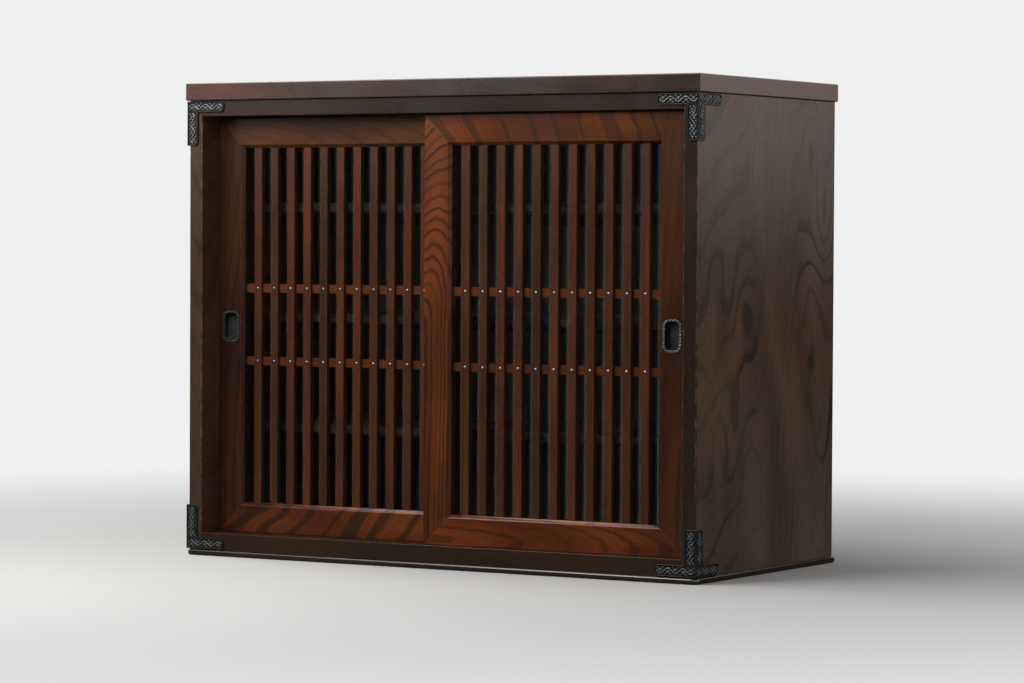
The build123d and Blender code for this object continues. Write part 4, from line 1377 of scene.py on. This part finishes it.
class CABINET_OT_stage(bpy.types.Operator):
    """Set the floor, the lights, the screens that paint reflections and highlights, and the camera."""

    bl_idname = "cabinet.stage"
    bl_label = "Stage"

    def execute(self, context):
        self.add_floor()
        for name, screen in SCREENS.items():
            self.add_screen(name, *screen)
        self.add_world()
        for name, lamp in LAMPS.items():
            self.add_lamp(name, *lamp)
        self.add_camera()
        context.scene.view_settings.view_transform = "Standard"
        return {"FINISHED"}

    def add_floor(self):
        """A wide pale floor that fades into the backdrop's colour away from the cabinet."""
        material, tree, shader = new_material("studio_floor")
        place = object_place(tree)
        cloud = noise(tree, place, (0.7, 0.7, 0.7), detail=3.0)
        pale = mixed(tree, cloud, [0.66, 0.66, 0.655, 1.0], [0.70, 0.70, 0.695, 1.0])
        _, seen = showing_rays(tree)
        tree.links.new(mixed(tree, seen, [0.15, 0.15, 0.15, 1.0], pale), shader.inputs["Base Color"])
        shader.inputs["Roughness"].default_value = 0.85
        shader.inputs["Specular IOR Level"].default_value = 0.2
        away = span(tree, vector_calc(tree, "LENGTH", place, output=1), *FLOOR_FADE)
        glow = out(tree, "ShaderNodeEmission", {"Color": BACKDROP})
        sockets = {0: product(tree, away, seen), 1: shader.outputs[0], 2: glow}
        both = out(tree, "ShaderNodeMixShader", sockets)
        tree.links.new(both, tree.nodes["Material Output"].inputs["Surface"])
        half = FLOOR_HALF
        corners = [(-half, -half, 0.0), (half, -half, 0.0), (half, half, 0.0), (-half, half, 0.0)]
        add_sheet("studio_floor", corners, material)

    def add_screen(self, name, start, stop, levels, tones, dimming):
        """A glowing sheet that only mirrored rays meet, dark below and paler above: it paints reflections and
        highlights into the lacquer, metal and glass, and lights nothing.
        """
        material, tree, shader = new_material(f"{name}_cloth")
        foot, top = levels
        place = object_place(tree)
        tone = span(tree, separated(tree, place)[2], 0.45 * top, 0.95 * top, *tones)
        run = Vector((*stop, 0.0)) - Vector((*start, 0.0))
        from_start = vector_calc(tree, "SUBTRACT", place, (*start, 0.0))
        way = vector_calc(tree, "DOT_PRODUCT", from_start, run / run.length_squared, output=1)
        dim_from, dim_to, rest = dimming
        tone = product(tree, tone, span(tree, way, dim_from, dim_to, 1.0, rest))
        glow = out(tree, "ShaderNodeEmission", {"Color": SCREEN_TINT, "Strength": tone})
        tree.links.new(glow, tree.nodes["Material Output"].inputs["Surface"])
        tree.nodes.remove(shader)
        corners = [(*start, foot), (*stop, foot), (*stop, top), (*start, top)]
        screen = add_sheet(name, corners, material)
        for kind in ("camera", "diffuse", "transmission", "shadow", "volume_scatter"):
            setattr(screen, f"visible_{kind}", False)

    def add_world(self):
        """Even soft light, and a pale backdrop for what is seen directly, mirrored or through glass."""
        world = bpy.data.worlds.new("studio")
        bpy.context.scene.world = world
        world.use_nodes = True
        tree = world.node_tree
        rays, seen = showing_rays(tree)
        seen = calc(tree, "MAXIMUM", seen, rays["Is Glossy Ray"])
        back = tree.nodes["Background"]
        tree.links.new(mixed(tree, seen, [0.13, 0.132, 0.136, 1.0], BACKDROP), back.inputs["Color"])
        back.inputs["Strength"].default_value = 1.0

    def add_lamp(self, name, place, target, size, energy, tint):
        """A rectangular soft light aimed at a point."""
        light = bpy.data.lights.new(name, "AREA")
        light.shape = "RECTANGLE"
        light.size, light.size_y = size
        light.energy = energy
        light.color = tint
        lamp = bpy.data.objects.new(name, light)
        lamp.location = place
        lamp.rotation_euler = (Vector(target) - Vector(place)).to_track_quat("-Z", "Y").to_euler()
        lamp.visible_camera = False
        bpy.context.scene.collection.objects.link(lamp)

    def add_camera(self):
        """The camera stands to the right of the cabinet's front, near its mid height."""
        camera = bpy.data.cameras.new("camera")
        camera.sensor_width = SENSOR_WIDTH
        camera.lens = FOCAL_PIXELS / IMAGE_WIDTH * SENSOR_WIDTH
        camera.clip_end = 60.0
        holder = bpy.data.objects.new("camera", camera)
        yaw, pitch, roll = (math.radians(angle) for angle in (CAMERA_YAW, CAMERA_PITCH, CAMERA_ROLL))
        turn = Matrix.Rotation(yaw, 4, "Z") @ Matrix.Rotation(math.pi / 2 + pitch, 4, "X")
        turn = turn @ Matrix.Rotation(roll, 4, "Z")
        holder.matrix_world = Matrix.Translation(CAMERA_PLACE) @ turn
        bpy.context.scene.collection.objects.link(holder)
        bpy.context.scene.camera = holder


OPERATORS = (
    CABINET_OT_effects,
    CABINET_OT_boards,
    CABINET_OT_tracks,
    CABINET_OT_interior,
    CABINET_OT_door_frames,
    CABINET_OT_lattice,
    CABINET_OT_studs,
    CABINET_OT_glass,
    CABINET_OT_pulls,
    CABINET_OT_corner_irons,
    CABINET_OT_stage,
)


class CABINET_PT_panel(bpy.types.Panel):
    """The cabinet's pieces and settings."""

    bl_idname = "CABINET_PT_panel"
    bl_label = "Kitchen cabinet"
    bl_space_type = "VIEW_3D"
    bl_region_type = "UI"
    bl_category = "Cabinet"

    def draw(self, context):
        for operator in OPERATORS:
            self.layout.operator(operator.bl_idname)
        for group in (context.scene.cabinet_sizes, context.scene.cabinet_finish):
            box = self.layout.box()
            for name in group.__annotations__:
                box.prop(group, name)


CLASSES = (CabinetSizes, CabinetFinish, *OPERATORS, CABINET_PT_panel)


def register():
    for cls in CLASSES:
        bpy.utils.register_class(cls)
    bpy.types.Scene.cabinet_sizes = bpy.props.PointerProperty(type=CabinetSizes)
    bpy.types.Scene.cabinet_finish = bpy.props.PointerProperty(type=CabinetFinish)


def unregister():
    del bpy.types.Scene.cabinet_finish
    del bpy.types.Scene.cabinet_sizes
    for cls in reversed(CLASSES):
        bpy.utils.unregister_class(cls)


def main():
    register()
    for operator in OPERATORS:
        group, name = operator.bl_idname.split(".")
        getattr(getattr(bpy.ops, group), name)()


if __name__ == "__main__":
    main()
